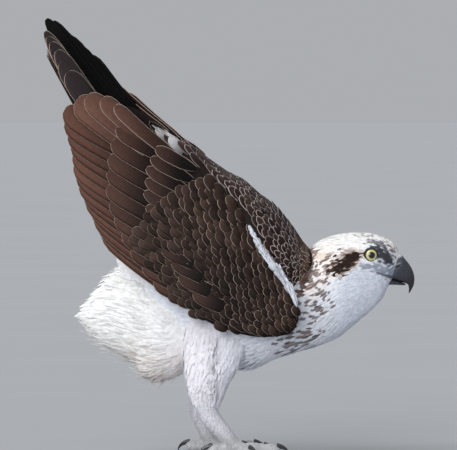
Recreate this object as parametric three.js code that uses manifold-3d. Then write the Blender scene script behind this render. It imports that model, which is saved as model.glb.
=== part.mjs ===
// A life-size osprey, standing still with its wings folded high and its vent plumage fluffed.
// Millimetres, +Z up. The bird faces +X, its right side is towards -Y, and the floor under its toes is z = 0.
// The outlines are given in the side view, as (x, z).

import * as THREE from "three";
import { mergeVertices } from "three/addons/utils/BufferGeometryUtils.js";
import Module from "manifold-3d";

const wasm = await Module();
wasm.setup();

// Driving dimensions
const gap = 0.3; // clearance between pieces that touch
const holeGrowth = 0.65; // by which a piece is grown before it is cut out of its neighbour
const vaneThickness = 0.8; // of a feather
const wingSpanInPlane = 420; // from the wrist to the wing tip
const tailLength = 211;
const tailHalfFan = 3.6; // degrees from the middle of the tail to its outermost feather
const eyeRadius = 9.4;
const legSpacing = 38; // from the middle plane to each leg
const seed = 7; // of every random draw
const tolerance = 0.02; // within which slivers left by unions are merged away

const degrees = Math.PI / 180;
const lerp = (a, b, t) => a + (b - a) * t;
const mix = (p, q, t) => p.map((value, i) => lerp(value, q[i], t));
const clamp = (value, low, high) => Math.min(Math.max(value, low), high);

let randomState = seed;
function random(low, high) {
  randomState = (randomState * 1664525 + 1013904223) % 4294967296;
  return lerp(low, high, randomState / 4294967296);
}

// Solids from points and faces

function solidOf(points, faces) {
  const geometry = new THREE.BufferGeometry();
  geometry.setAttribute("position", new THREE.Float32BufferAttribute(points.flat(), 3));
  geometry.setIndex(faces);
  const merged = mergeVertices(geometry, 1e-4);
  const positions = merged.attributes.position.array;
  const build = (indices) =>
    new wasm.Manifold(
      new wasm.Mesh({
        numProp: 3,
        vertProperties: new Float32Array(positions),
        triVerts: new Uint32Array(indices),
      }),
    );
  const indices = Array.from(merged.index.array);
  const solid = build(indices);
  return solid.volume() < 0 ? build(indices.reverse()) : solid;
}

const centreOf = (ring) =>
  [0, 1, 2].map((axis) => ring.reduce((sum, point) => sum + point[axis], 0) / ring.length);

// Rings of equally many points, joined into a tube. Rings of four get flat ends, others a fan over each end.
function solidOfRings(rings) {
  const count = rings[0].length;
  const points = rings.flat();
  const start = (rings.length - 1) * count;
  const faces = [];
  for (let j = 0; j < count; j++) {
    const next = (j + 1) % count;
    for (let i = 0; i < rings.length - 1; i++) {
      const a = i * count + j;
      const b = i * count + next;
      faces.push(a, b, b + count, a, b + count, a + count);
    }
  }
  if (count === 4) {
    faces.push(0, 3, 2, 0, 2, 1, start, start + 1, start + 2, start, start + 2, start + 3);
    return solidOf(points, faces);
  }
  const first = points.push(centreOf(rings[0])) - 1;
  const last = points.push(centreOf(rings.at(-1))) - 1;
  for (let j = 0; j < count; j++) {
    const next = (j + 1) % count;
    faces.push(first, next, j, last, start + j, start + next);
  }
  return solidOf(points, faces);
}

function largest(solid) {
  return solid.decompose().reduce((best, body) => (body.volume() > best.volume() ? body : best));
}

const union = (solids) => wasm.Manifold.union(solids);
const aboveFloor = (solid) => solid.trimByPlane([0, 0, 1], 0);

// A smooth curve through rows of numbers, at t from 0 to 1.
function through(rows, t) {
  const place = clamp(t, 0, 1) * (rows.length - 1);
  const i = Math.min(Math.floor(place), rows.length - 2);
  const u = place - i;
  const [p0, p1, p2, p3] = [i - 1, i, i + 1, i + 2].map((k) => rows[clamp(k, 0, rows.length - 1)]);
  return p1.map(
    (value, k) =>
      0.5 *
      (2 * value +
        (p2[k] - p0[k]) * u +
        (2 * p0[k] - 5 * value + 4 * p2[k] - p3[k]) * u * u +
        (3 * value - p0[k] - 3 * p2[k] + p3[k]) * u * u * u),
  );
}

const arc = ([a, b, c], t) => mix(mix(a, b, t), mix(b, c, t), t); // a quadratic curve

// A body part from chords in the side view: upper point, lower point, half width, and how far
// the width moves up towards the upper point. middle is the part's own place across the bird.
function chordLoft(rows, { rings, sides, grow = 0, middle = 0 }) {
  const made = [];
  for (let i = 0; i < rings; i++) {
    const [topX, topZ, lowX, lowZ, half, high = 0, across = middle] = through(rows, i / (rings - 1));
    const length = Math.hypot(topX - lowX, topZ - lowZ) / 2;
    const stretch = (length + grow) / length;
    made.push(
      Array.from({ length: sides }, (_, j) => {
        const angle = (2 * Math.PI * j) / sides;
        const up = Math.cos(angle) * stretch;
        const out = Math.sin(angle) * (1 + high * Math.cos(angle)) * (half + grow);
        return [
          (topX + lowX) / 2 + ((topX - lowX) / 2) * up,
          across + out,
          (topZ + lowZ) / 2 + ((topZ - lowZ) / 2) * up,
        ];
      }),
    );
  }
  return solidOfRings(lengthened(made, grow));
}

// The first and last ring moved outwards by grow.
function lengthened(rings, grow) {
  const moved = (ring, inner) => {
    const [from, to] = [centreOf(inner), centreOf(ring)];
    const distance = Math.hypot(...to.map((value, axis) => value - from[axis]));
    return ring.map((point) => point.map((value, axis) => value + ((to[axis] - from[axis]) / distance) * grow));
  };
  return [moved(rings[0], rings[1]), ...rings.slice(1, -1), moved(rings.at(-1), rings.at(-2))];
}

// A round tube through points [x, y, z, radius].
function roundTube(rows, { rings, sides, grow = 0 }) {
  const made = [];
  const side = new THREE.Vector3(0, 1, 0.01);
  for (let i = 0; i < rings; i++) {
    const t = i / (rings - 1);
    const [x, y, z, bareRadius] = through(rows, t);
    const radius = bareRadius + grow;
    const ahead = through(rows, Math.min(t + 0.02, 1));
    const behind = through(rows, Math.max(t - 0.02, 0));
    const along = new THREE.Vector3(ahead[0] - behind[0], ahead[1] - behind[1], ahead[2] - behind[2]).normalize();
    side.addScaledVector(along, -side.dot(along)).normalize();
    const up = new THREE.Vector3().crossVectors(along, side);
    made.push(
      Array.from({ length: sides }, (_, j) => {
        const angle = (2 * Math.PI * (j + 0.5)) / sides;
        const out = Math.cos(angle) * radius;
        const rise = Math.sin(angle) * radius;
        const point = new THREE.Vector3(x, y, z).addScaledVector(side, out).addScaledVector(up, rise);
        return point.toArray();
      }),
    );
  }
  return solidOfRings(lengthened(made, grow));
}

// A vane: a thin plate along stations of [left, right] on its upper face, with under(point)
// giving the matching point of the lower face.
function plate(stations, under) {
  return solidOfRings(stations.map(([left, right]) => [left, right, under(right), under(left)]));
}

// Head, neck and torso: one loft, parted later
const trunkRows = [
  // top x, top z, low x, low z, half width, width moved up
  [188, 219, 179, 190, 9, 0],
  [184, 230, 175, 183, 14.5, 0.1],
  [173, 238, 169, 171, 19.5, 0.2],
  [157, 243, 162, 163, 23.5, 0.24],
  [140, 244, 156, 157, 26, 0.2],
  [122, 242, 148, 150, 28, 0.15],
  [104, 237, 137, 140, 31, 0.05],
  [91, 230, 124, 128, 37, 0],
  [80, 228, 107, 118, 46, 0],
  [65, 238, 83, 109, 56, 0],
  [43, 253, 58, 101, 62, 0],
  [12, 268, 29, 90, 64, 0],
  [-21, 279, -8, 90, 62, 0],
  [-52, 283, -42, 103, 55, 0],
  [-79, 279, -76, 125, 46, 0],
  [-101, 267, -105, 158, 34, 0],
  [-114, 246, -122, 198, 20, 0],
];
const trunk = (grow) => chordLoft(trunkRows, { rings: 26, sides: 16, grow });

const headCut = { x: 112, z: 190, lean: 26 }; // a point of the plane, and its lean from upright in degrees
const neckCut = { x: 86, z: 175, lean: 20 };
const cutNormal = ({ lean }) => [Math.cos(lean * degrees), 0, Math.sin(lean * degrees)];
const cutOffset = (cut) => cut.x * cutNormal(cut)[0] + cut.z * cutNormal(cut)[2];
const inFrontOf = (solid, cut) => solid.trimByPlane(cutNormal(cut), cutOffset(cut) + gap / 2);
const behind = (solid, cut) => solid.trimByPlane(cutNormal(cut).map((v) => -v), -cutOffset(cut) + gap / 2);

// Eyes
const eyePlace = { x: 156.5, out: 16.5, z: 219.5 };
const eyeTurn = 12; // degrees that each eye looks forward of straight out
const lidTube = 1.5;
const lidRing = 8;

function ball(radius, x, y, z, scale = [1, 1, 1], detail = 14) {
  const geometry = new THREE.SphereGeometry(radius, detail, Math.round(detail * 0.6));
  geometry.scale(...scale);
  geometry.translate(x, y, z);
  return solidOfGeometry(geometry);
}

function solidOfGeometry(geometry) {
  const bare = geometry.clone();
  bare.deleteAttribute("normal");
  bare.deleteAttribute("uv");
  const merged = mergeVertices(bare, 1e-4);
  const points = [];
  const position = merged.attributes.position;
  for (let i = 0; i < position.count; i++) points.push([position.getX(i), position.getY(i), position.getZ(i)]);
  const faces = [];
  const index = merged.index.array;
  for (let i = 0; i < index.length; i += 3) {
    const [a, b, c] = [index[i], index[i + 1], index[i + 2]];
    if (a !== b && b !== c && a !== c) faces.push(a, b, c);
  }
  return solidOf(points, faces);
}

function eyelid(side) {
  const ring = new THREE.TorusGeometry(lidRing, lidTube, 5, 14);
  ring.rotateX(Math.PI / 2);
  ring.rotateZ(side * eyeTurn * degrees);
  ring.translate(eyePlace.x + 1, side * (eyePlace.out + 4.7), eyePlace.z);
  return solidOfGeometry(ring);
}

// Bill: chords from the culmen down to the cutting edge
const upperBillRows = [
  [189.5, 219.5, 176.5, 193.4, 9, -0.1],
  [194.7, 214, 182.6, 191.4, 7.8, -0.1],
  [199.1, 208.5, 188.7, 189.6, 6.4, -0.1],
  [202.7, 201.9, 194.2, 188.3, 5, 0],
  [204.6, 194.2, 197.2, 186.5, 3.6, 0],
  [203.8, 185.9, 198.4, 182.6, 2.3, 0],
  [199.6, 177.6, 198.2, 176.6, 0.8, 0],
];
const lowerBillRows = [
  [175, 192.4, 173.5, 186, 7.2, 0],
  [184, 190.4, 183.5, 185.9, 5.8, 0],
  [190, 188.6, 190, 185.6, 4.1, 0],
  [194.8, 187.2, 194.8, 185.7, 1.7, 0],
];
const cereShare = 0.24; // of the upper bill's rows, from the face
const nostril = { x: 186, out: 8.2, z: 208.5, long: 3.4, tall: 1.3 };
const mouthCorner = { x: 172, z: 194.5, out: 16 };

function upperBill(grow) {
  return chordLoft(upperBillRows, { rings: 11, sides: 12, grow });
}

function nostrils() {
  return [-1, 1].map((side) =>
    ball(nostril.tall, nostril.x, side * nostril.out, nostril.z, [nostril.long / nostril.tall, 1.6, 1], 8),
  );
}

// Wing: a sheet whose depth from the middle plane is a formula of its place in the side view
const wrist = [62, 150];
const wingAxis = [-0.642, 0.766]; // from the wrist to the wing tip
const shoulderDepth = 74;
const tipDepth = 36;

function wingDepth(x, z) {
  const along = clamp((x - wrist[0]) * wingAxis[0] + (z - wrist[1]) * wingAxis[1], 0, wingSpanInPlane);
  const down = (x - wrist[0]) * -wingAxis[1] + (z - wrist[1]) * wingAxis[0]; // towards the lower edge
  const base = shoulderDepth - (shoulderDepth - tipDepth) * (along / wingSpanInPlane) ** 1.5;
  const over = Math.max(25 + 0.06 * along - down, 0) / 60; // how far the sheet has turned over the back
  return base - (6 + 0.06 * along) * over * over;
}

const wingCoreRows = [
  // low x, low z, up x, up z, thickness
  [77, 150, 75, 168, 12],
  [68, 136, 66, 187, 18],
  [47, 131.5, 51.5, 211, 20],
  [23, 132.5, 36, 236, 20],
  [-4, 140, 21.5, 261, 20],
  [-28, 151, -1.5, 286, 18],
  [-46, 165, -23.5, 305, 17],
  [-63, 188, -43, 319.5, 16],
  [-81, 212, -62.5, 333.5, 14],
  [-97, 238, -81, 346.5, 12],
  [-111, 264, -98.5, 359, 9],
  [-124, 290, -115, 369, 7],
  [-134, 314, -127, 376, 5],
];

function wingCore() {
  const rings = [];
  const count = 17;
  const outer = 6;
  for (let i = 0; i < count; i++) {
    const [lowX, lowZ, upX, upZ, thick] = through(wingCoreRows, i / (count - 1));
    const point = (t, sink) => {
      const x = lerp(lowX, upX, t);
      const z = lerp(lowZ, upZ, t);
      return [x, -(wingDepth(x, z) - sink), z];
    };
    const ring = [];
    for (let j = 0; j <= outer; j++) {
      const t = j / outer;
      const edge = Math.max(1 - t / 0.16, 1 - (1 - t) / 0.16, 0);
      ring.push(point(t, 0.4 * Math.min(thick, 14) * edge * edge));
    }
    for (let j = 3; j >= 0; j--) ring.push(point(0.04 + 0.92 * (j / 3), thick));
    rings.push(ring);
  }
  return solidOfRings(rings);
}

// Rows of wing feathers. Each row runs along two curves in the side view, from its outermost
// (lowest) feather to its innermost: where the roots sit, and where the tips end.
const featherRows = {
  primaries: {
    count: 4,
    roots: [[-92, 322], [-100, 330], [-108, 338]],
    tips: [[-197, 466], [-190, 452], [-171, 424]],
    width: [17, 24],
    lift: [-4.6, -3.4],
    bend: -0.05,
    blunt: 0.5,
  },
  secondaries: {
    count: 10,
    roots: [[-4, 152], [-64, 232], [-66, 318]],
    tips: [[-138, 249], [-166, 300], [-179, 379]],
    width: [27, 30],
    lift: [-0.4, 0],
    bend: -0.06,
    blunt: 0.62,
  },
  tertials: {
    count: 3,
    roots: [[-64, 318], [-58, 322], [-50, 322]],
    tips: [[-164, 391], [-148, 396], [-129, 385]],
    width: [30, 15],
    lift: [3.3, 3.6],
    bend: -0.05,
    blunt: 0.62,
  },
  greaterCoverts: {
    count: 8,
    roots: [[-22, 168], [-84, 232], [-62, 326]],
    tips: [[-82, 200], [-154, 280], [-130, 360]],
    width: [24, 22],
    lift: [3.2, 3.4],
    bend: -0.04,
    blunt: 0.6,
  },
  medianCoverts: {
    count: 6,
    roots: [[2, 166], [-56, 246], [-44, 316]],
    tips: [[-42, 184], [-112, 276], [-88, 334]],
    width: [17, 16],
    lift: [6.4, 6.6],
    bend: -0.03,
    blunt: 0.6,
  },
};
const rootSink = 2.8; // of a feather's root under the wing's surface
const shingleTilt = 0.08; // rise across a feather towards its lower edge, so that each lies over the next
const stationShares = [0, 0.3, 0.72, 0.9, 1];
const stationWidths = [0.3, 0.9, 1, 0.8];

function wingFeather(row, t) {
  const root = arc(row.roots, t);
  const tip = arc(row.tips, t);
  const width = lerp(row.width[0], row.width[1], t);
  const lift = lerp(row.lift[0], row.lift[1], t);
  const dx = tip[0] - root[0];
  const dz = tip[1] - root[1];
  const length = Math.hypot(dx, dz);
  const lower = [-dz / length, dx / length]; // towards the wing's lower edge
  const control = [0, 1].map((k) => (root[k] + tip[k]) / 2 - lower[k] * row.bend * length);
  const stations = stationShares.map((share, i) => {
    const [x, z] = arc([root, control, tip], share);
    const half = (width / 2) * (stationWidths[i] ?? row.blunt * 0.55);
    const rise = lerp(-rootSink, lift + share * 0.8, Math.min(share / stationShares[1], 1));
    const at = (across) => {
      const px = x + lower[0] * across * half;
      const pz = z + lower[1] * across * half;
      const back = i === stationShares.length - 1 ? Math.abs(across) * width * 0.06 : 0;
      const qx = px - (dx / length) * back;
      const qz = pz - (dz / length) * back;
      return [qx, -(wingDepth(qx, qz) + rise + shingleTilt * across * half), qz];
    };
    return [at(1), at(-1)];
  });
  return plate(stations, ([px, py, pz]) => [px, py + vaneThickness, pz]);
}

function wingSolid(rows) {
  const feathers = Object.values(rows).flatMap((row) =>
    Array.from({ length: row.count }, (_, i) => wingFeather(row, i / (row.count - 1))),
  );
  return union([wingCore(), ...feathers]);
}

const farWingShift = [9, 0, 13]; // the left wing is held a little higher
const farFeatherRows = {
  ...featherRows,
  primaries: {
    ...featherRows.primaries,
    roots: [[-93, 323], [-101, 332], [-105, 339]],
    tips: [[-210, 466], [-203, 450], [-179, 417]],
  },
};

// Mantle and scapulars: a saddle over the back between the wings
const mantleRows = [
  [92, 227, 92, 190, 30, 0],
  [84, 236, 74, 160, 48, 0],
  [73, 251, 55, 150, 61, 0],
  [57.5, 270, 38, 150, 68, 0],
  [41, 284, 20, 175, 67, 0.1],
  [25, 297, 3, 205, 60, 0.1],
  [9, 307, -12, 232, 51, 0.1],
  [-7, 317.5, -27, 256, 43, 0.05],
  [-22, 328.5, -42, 278, 36, 0],
  [-38, 339.5, -56, 300, 29, 0],
  [-54, 348, -68, 320, 21, 0],
  [-68, 356, -76, 340, 10, 0],
];
// its lower border in the side view, from the neck back along the wing
const mantleBorder = [
  [79, 168],
  [64, 200],
  [42, 238],
  [25, 268],
  [-4, 296],
  [-32, 318],
  [-54, 334],
  [-74, 350],
];

function mantle(grow) {
  const loft = chordLoft(mantleRows, { rings: 15, sides: 16, grow });
  const outline = new THREE.Shape();
  outline.moveTo(mantleBorder[0][0] + grow, mantleBorder[0][1] - grow);
  for (const [x, z] of mantleBorder.slice(1)) outline.lineTo(x - grow, z - grow);
  outline.lineTo(-110, 372);
  outline.lineTo(110, 372);
  outline.lineTo(110, 168);
  const slab = new THREE.ExtrudeGeometry(outline, { depth: 200, bevelEnabled: false });
  slab.rotateX(Math.PI / 2);
  slab.translate(0, 100, 0);
  return loft.intersect(solidOfGeometry(slab));
}

// Tail: vanes in a fan, the middle pair on top
const tailRoot = [-100, 261];
const tailTip = [-200.8, 446.6];
const tailVanes = 10;
const tailVaneWidth = 25;

const tailAlong = [(tailTip[0] - tailRoot[0]) / tailLength, (tailTip[1] - tailRoot[1]) / tailLength];
const tailUp = [tailAlong[1], -tailAlong[0]]; // out of the tail's upper face
const onTail = (along, across, up) => [
  tailRoot[0] + tailAlong[0] * along + tailUp[0] * up,
  across,
  tailRoot[1] + tailAlong[1] * along + tailUp[1] * up,
];

function tailVane(i) {
  const place = i - (tailVanes - 1) / 2; // negative to the bird's right
  const side = Math.sign(place);
  const rank = Math.abs(place) - 0.5; // 0 for the middle pair
  const share = (rank + 0.5) / (tailVanes / 2);
  const angle = side * share * tailHalfFan * degrees;
  const length = tailLength * (1 - 0.035 * share * share) + random(-1.5, 1.5);
  const height = 2.2 - rank * 1.25 + (side > 0 ? 0.6 : 0);
  const stations = stationShares.map((step, k) => {
    const half = (tailVaneWidth / 2) * (stationWidths[k] ?? 0.42) * (k === 0 ? 0.6 : 1);
    const at = (across) => {
      const y = side * rank * 1.2 + across * half;
      const back = k === stationShares.length - 1 ? Math.abs(across) * 2 : 0;
      const along = length * step - back;
      const tilt = -side * across * half * 0.03;
      return onTail(along * Math.cos(angle), along * Math.sin(angle) + y, height + tilt);
    };
    return [at(-1), at(1)];
  });
  return plate(stations, ([x, y, z]) => [x - tailUp[0] * vaneThickness, y, z - tailUp[1] * vaneThickness]);
}

const tailBaseRows = [
  // along, half thickness, half width
  [-16, 14, 16],
  [10, 12, 19],
  [36, 9, 20],
  [58, 6, 18],
  [74, 3.4, 14],
];

function tailSolid() {
  const rings = tailBaseRows.map(([along, thick, half]) =>
    Array.from({ length: 14 }, (_, j) => {
      const angle = (2 * Math.PI * j) / 14;
      return onTail(along, Math.sin(angle) * half, Math.cos(angle) * thick - 1.5);
    }),
  );
  const vanes = Array.from({ length: tailVanes }, (_, i) => tailVane(i));
  return union([solidOfRings(rings), ...vanes]);
}

// Vent and undertail plumage, with locks along its outline
const ventRows = [
  [-43, 188, -50, 87, 38, 0],
  [-62, 197, -66, 81, 42, 0],
  [-80, 204, -83, 82, 41, 0],
  [-97, 207, -97, 96, 38, 0],
  [-113, 207, -112, 106, 33, 0],
  [-127, 198, -127, 115, 27, 0],
  [-139, 184, -139, 126, 20, 0],
  [-149, 167, -149, 139, 10, 0],
];
const ventLocks = {
  rings: 4,
  perRing: 9,
  from: 0.26, // where the first ring of locks sits along the rows
  to: 0.97,
  stand: 0.42, // how far a lock rises off the core
  length: 28,
  width: 23,
  thickness: 2.4,
  sink: 7,
  curl: 0.24,
};

// A lock: a flat plate that tapers from a root, sunk by sink, and bends back towards the body by curl.
function lock(root, along, across, { length, width, thickness, sink, curl = 0 }) {
  const a = new THREE.Vector3(...along).normalize();
  const b = new THREE.Vector3(...across);
  b.addScaledVector(a, -b.dot(a)).normalize();
  const n = new THREE.Vector3().crossVectors(a, b);
  const shares = [0, 0.6, 1];
  const widths = [0.8, 1, 0.25];
  const depths = [1, 1, 0.5];
  const rings = shares.map((share, i) => {
    const centre = new THREE.Vector3(...root)
      .addScaledVector(a, share * (length + sink) - sink)
      .addScaledVector(n, curl * share * share * length);
    const half = (width / 2) * widths[i];
    const deep = (thickness / 2) * depths[i];
    return [
      [half, 0],
      [0, deep],
      [-half, 0],
      [0, -deep],
    ].map(([u, v]) => centre.clone().addScaledVector(b, u).addScaledVector(n, v).toArray());
  });
  return solidOfRings(rings);
}

function onVent(t, angle) {
  const [topX, topZ, lowX, lowZ, half] = through(ventRows, t);
  const up = 0.5 + 0.5 * Math.cos(angle);
  return new THREE.Vector3(lerp(lowX, topX, up), half * Math.sin(angle), lerp(lowZ, topZ, up));
}

function ventLock(t, angle) {
  const root = onVent(t, angle);
  const along = root.clone().sub(onVent(t - 0.08, angle)).normalize();
  const across = onVent(t, angle + 0.1).sub(onVent(t, angle - 0.1)).normalize();
  const out = new THREE.Vector3().crossVectors(across, along);
  along.addScaledVector(out, ventLocks.stand * random(0.8, 1.2));
  const underTail = Math.cos(angle) > 0.6 ? 0.6 : 1; // shorter under the wings and the tail
  return lock(root.toArray(), along.toArray(), across.toArray(), {
    ...ventLocks,
    length: ventLocks.length * underTail * random(0.8, 1.1) * (1 - 0.2 * t),
  });
}

function ventSolid() {
  const { rings, perRing, from, to } = ventLocks;
  const locks = [];
  for (let i = 0; i < rings; i++) {
    const t = lerp(from, to, i / (rings - 1));
    for (let j = 0; j < perRing; j++) {
      locks.push(ventLock(t, (2 * Math.PI * (j + 0.5 * (i % 2))) / perRing + random(-0.1, 0.1)));
    }
  }
  return union([chordLoft(ventRows, { rings: 11, sides: 14 }), ...locks]);
}

// Legs
const legs = {
  right: { side: -1, hock: [-30, 55], ankle: [6, 10], knee: 0 },
  left: { side: 1, hock: [-36, 55], ankle: [-19, 10], knee: -6 },
};
const thighRows = [
  // rear x, rear z, front x, front z, half width, -, place across
  [-52, 190, 42, 180, 16, 0, 32],
  [-52, 158, 30, 140, 19, 0, 33],
  [-52, 118, 18, 105, 22, 0, 36],
  [-50, 86, 5, 81, 20, 0, 38],
  [-46, 66, -2, 65, 15.5, 0, 38],
  [-41, 55, -6, 56, 11, 0, legSpacing],
];
const thighLocks = { count: 9, length: 14, width: 12, thickness: 2, sink: 5, curl: 0.1 };
const hockRadius = 11;
const shankRadius = 9.6;

function thighCore({ side, knee }, grow = 0) {
  const rows = thighRows.map(([ax, az, bx, bz, half, high, across]) => [
    ax + knee * clamp((110 - az) / 60, 0, 1),
    az,
    bx + knee * clamp((110 - bz) / 60, 0, 1),
    bz,
    half,
    high,
    side * across,
  ]);
  return chordLoft(rows, { rings: 10, sides: 12, grow });
}

function thighSolid(leg) {
  const { side } = leg;
  const [rearX, frontX] = [-46, -1];
  const locks = Array.from({ length: thighLocks.count }, (_, i) => {
    const angle = (2 * Math.PI * i) / thighLocks.count;
    const root = [
      lerp(rearX, frontX, 0.5 - 0.44 * Math.cos(angle)),
      side * legSpacing + 14 * Math.sin(angle),
      71,
    ];
    return lock(root, [-0.12 * Math.cos(angle) + 0.05, 0, -1], [Math.sin(angle), Math.cos(angle), 0], {
      ...thighLocks,
      length: thighLocks.length * random(0.8, 1.1),
    });
  });
  return union([thighCore(leg), ...locks]);
}

function shankSolid({ side, hock, ankle }, grow = 0) {
  const y = side * legSpacing;
  const at = (t, radius) => [lerp(hock[0], ankle[0], t), y, lerp(hock[1], ankle[1], t), radius];
  const rows = [
    [hock[0] + 3, y, hock[1] + 14, 9],
    [hock[0] + 3, y, hock[1] + 3, hockRadius],
    at(0.3, shankRadius + 1.2),
    at(0.6, shankRadius),
    at(0.85, shankRadius - 0.4),
    [ankle[0] + 1, y, ankle[1] - 1, shankRadius - 0.6],
  ];
  return roundTube(rows, { rings: 8, sides: 12, grow });
}

// Toes: [name, heading in degrees from straight ahead and outwards, length, radius]
const toes = [
  ["middle", 4, 47, 6.6],
  ["inner", -30, 39, 6.4],
  ["outer", 66, 40, 6.2],
  ["hind", 172, 30, 6.6],
];
const toeFlat = 0.6; // how deep the pads are pressed flat
const clawLength = 25;
const clawRadius = 3.5;

function toePoint(leg, heading, reach, height) {
  const turn = heading * degrees;
  const x = leg.ankle[0] + 3 + Math.cos(turn) * reach;
  const y = leg.side * (legSpacing + Math.sin(turn) * reach);
  return [x, y, height];
}

function toeSolid(leg, [, heading, length, radius], grow) {
  const shares = [0, 0.22, 0.42, 0.58, 0.76, 0.9, 1];
  const swells = [1.25, 1, 1.1, 0.94, 1.04, 0.92, 0.62];
  const rows = shares.map((share, i) => {
    const size = radius * swells[i];
    return [...toePoint(leg, heading, share * length, size - toeFlat + (1 - share) * 1.2), size];
  });
  return roundTube(rows, { rings: 7, sides: 8, grow });
}

function clawSolid(leg, [, heading, length, radius]) {
  const rows = [];
  const steps = 5;
  for (let i = 0; i <= steps; i++) {
    const t = i / steps;
    const bend = t * 86 * degrees; // the claw curves down to the floor
    const arcRadius = clawLength / (86 * degrees);
    const reach = length - 2.2 + arcRadius * Math.sin(bend) * 0.8;
    const height = radius + 4.4 - arcRadius * (1 - Math.cos(bend)) * 0.62;
    rows.push([...toePoint(leg, heading, reach, height), lerp(clawRadius, 0.55, t ** 0.9)]);
  }
  return roundTube(rows, { rings: 6, sides: 6 });
}

function footSolid(leg, grow = 0) {
  const [x, z] = leg.ankle;
  const y = leg.side * legSpacing;
  const pad = ball(11.5 + grow, x + 2, y, 8.4, [1.05, 1, 0.82], 8);
  return union([pad, ...toes.map((toe) => toeSolid(leg, toe, grow))]).add(
    roundTube(
      [
        [x - 3, y, z + 5, shankRadius - 0.4],
        [x + 1, y, z - 2, shankRadius],
      ],
      { rings: 3, sides: 12 },
    ),
  );
}

// Nape crest: short pointed locks where the head meets the mantle
const crest = { count: 5, length: 15, width: 8, thickness: 2, sink: 5 };

function crestLocks() {
  return Array.from({ length: crest.count }, (_, i) => {
    const spread = lerp(-1, 1, i / (crest.count - 1));
    const root = [119 - 5 * Math.abs(spread), spread * 20, 239 - 9 * spread * spread];
    return lock(root, [-1, spread * 0.35, -0.22 - 0.2 * Math.abs(spread)], [0, 1, 0], {
      ...crest,
      length: crest.length * random(0.85, 1.1),
    });
  });
}

// Put together

const bird = new THREE.Group();

function addNode(name, solid, color, roughness, metalness = 0) {
  const mesh = largest(solid).simplify(tolerance).getMesh();
  const positions = new Float32Array(mesh.numVert * 3);
  for (let i = 0; i < mesh.numVert; i++) {
    for (let k = 0; k < 3; k++) positions[i * 3 + k] = mesh.vertProperties[i * mesh.numProp + k];
  }
  const geometry = new THREE.BufferGeometry();
  geometry.setAttribute("position", new THREE.BufferAttribute(positions, 3));
  geometry.setIndex(new THREE.BufferAttribute(mesh.triVerts, 1));
  geometry.computeVertexNormals();
  const material = new THREE.MeshStandardMaterial({ color, roughness, metalness });
  const made = new THREE.Mesh(geometry, material);
  made.name = name;
  bird.add(made);
}

const white = 0xe9e7e4;
const brown = 0x4a352c;
const darkBrown = 0x2c211d;
const scaleGrey = 0xc9cac8;
const horn = 0x23242a;

const trunkSolid = trunk(0);
const trunkHole = trunk(holeGrowth);
const mantleSolid = mantle(0).subtract(trunkHole);
const mantleHole = mantle(holeGrowth);

const eyes = { right: -1, left: 1 };
const upper = upperBill(0);
let headSolid = inFrontOf(trunkSolid, headCut).add(union(crestLocks()));
for (const side of Object.values(eyes)) {
  headSolid = headSolid
    .subtract(ball(10.5, eyePlace.x, side * (eyePlace.out + 10), eyePlace.z, [1, 0.5, 1], 12))
    .add(eyelid(side))
    .subtract(ball(eyeRadius + gap, eyePlace.x, side * eyePlace.out, eyePlace.z, [1, 1, 1], 14));
  const slit = ball(1, mouthCorner.x, side * mouthCorner.out, mouthCorner.z, [9, 6, 0.7], 8);
  headSolid = headSolid.subtract(slit);
}
addNode("head", headSolid.subtract(mantleHole), white, 0.9);
for (const [name, side] of Object.entries(eyes)) {
  addNode(`eye_${name}`, ball(eyeRadius, eyePlace.x, side * eyePlace.out, eyePlace.z, [1, 1, 1], 14), 0xd8c64a, 0.2);
}

const cereCut = { x: lerp(189.5, 194.7, cereShare * 6) - 2.5, z: 214, lean: -24 };
const billBody = upper.subtract(trunkHole).subtract(union(nostrils()));
addNode("cere", behind(billBody, cereCut), 0x6d7884, 0.6);
addNode("bill_upper", inFrontOf(billBody, cereCut), horn, 0.35);
addNode(
  "bill_lower",
  chordLoft(lowerBillRows, { rings: 8, sides: 12 }).subtract(trunk(1.1)).subtract(upperBill(holeGrowth)),
  horn,
  0.4,
);

addNode("neck", inFrontOf(behind(trunkSolid, headCut), neckCut).subtract(mantleHole), white, 0.9);
addNode("torso", behind(trunkSolid, neckCut), white, 0.9);
addNode("mantle", mantleSolid, brown, 0.85);

const tail = tailSolid().subtract(trunkHole);
const vent = ventSolid()
  .subtract(trunkHole)
  .subtract(union(Object.values(legs).map((leg) => thighCore(leg, holeGrowth))));
addNode("tail", tail, brown, 0.8);
addNode("undertail_coverts", vent, white, 0.95);

const wings = {
  right: wingSolid(featherRows),
  left: wingSolid(farFeatherRows).mirror([0, 1, 0]).translate(farWingShift),
};
for (const [name, solid] of Object.entries(wings)) {
  addNode(`wing_${name}`, solid.subtract(trunkHole).subtract(mantleHole), darkBrown, 0.8);
}

for (const [name, leg] of Object.entries(legs)) {
  const footTop = leg.ankle[1] + 7;
  addNode(`thigh_${name}`, thighSolid(leg).subtract(trunkHole).subtract(shankSolid(leg, holeGrowth)), white, 0.95);
  addNode(`shank_${name}`, shankSolid(leg).trimByPlane([0, 0, 1], footTop + gap), scaleGrey, 0.7);
  addNode(`foot_${name}`, aboveFloor(footSolid(leg)).trimByPlane([0, 0, -1], -footTop), scaleGrey, 0.7);
  const footHole = footSolid(leg, holeGrowth);
  for (const toe of toes) {
    addNode(`claw_${toe[0]}_${name}`, aboveFloor(clawSolid(leg, toe)).subtract(footHole), horn, 0.3);
  }
}

export default bird;
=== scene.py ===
import math

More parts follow.
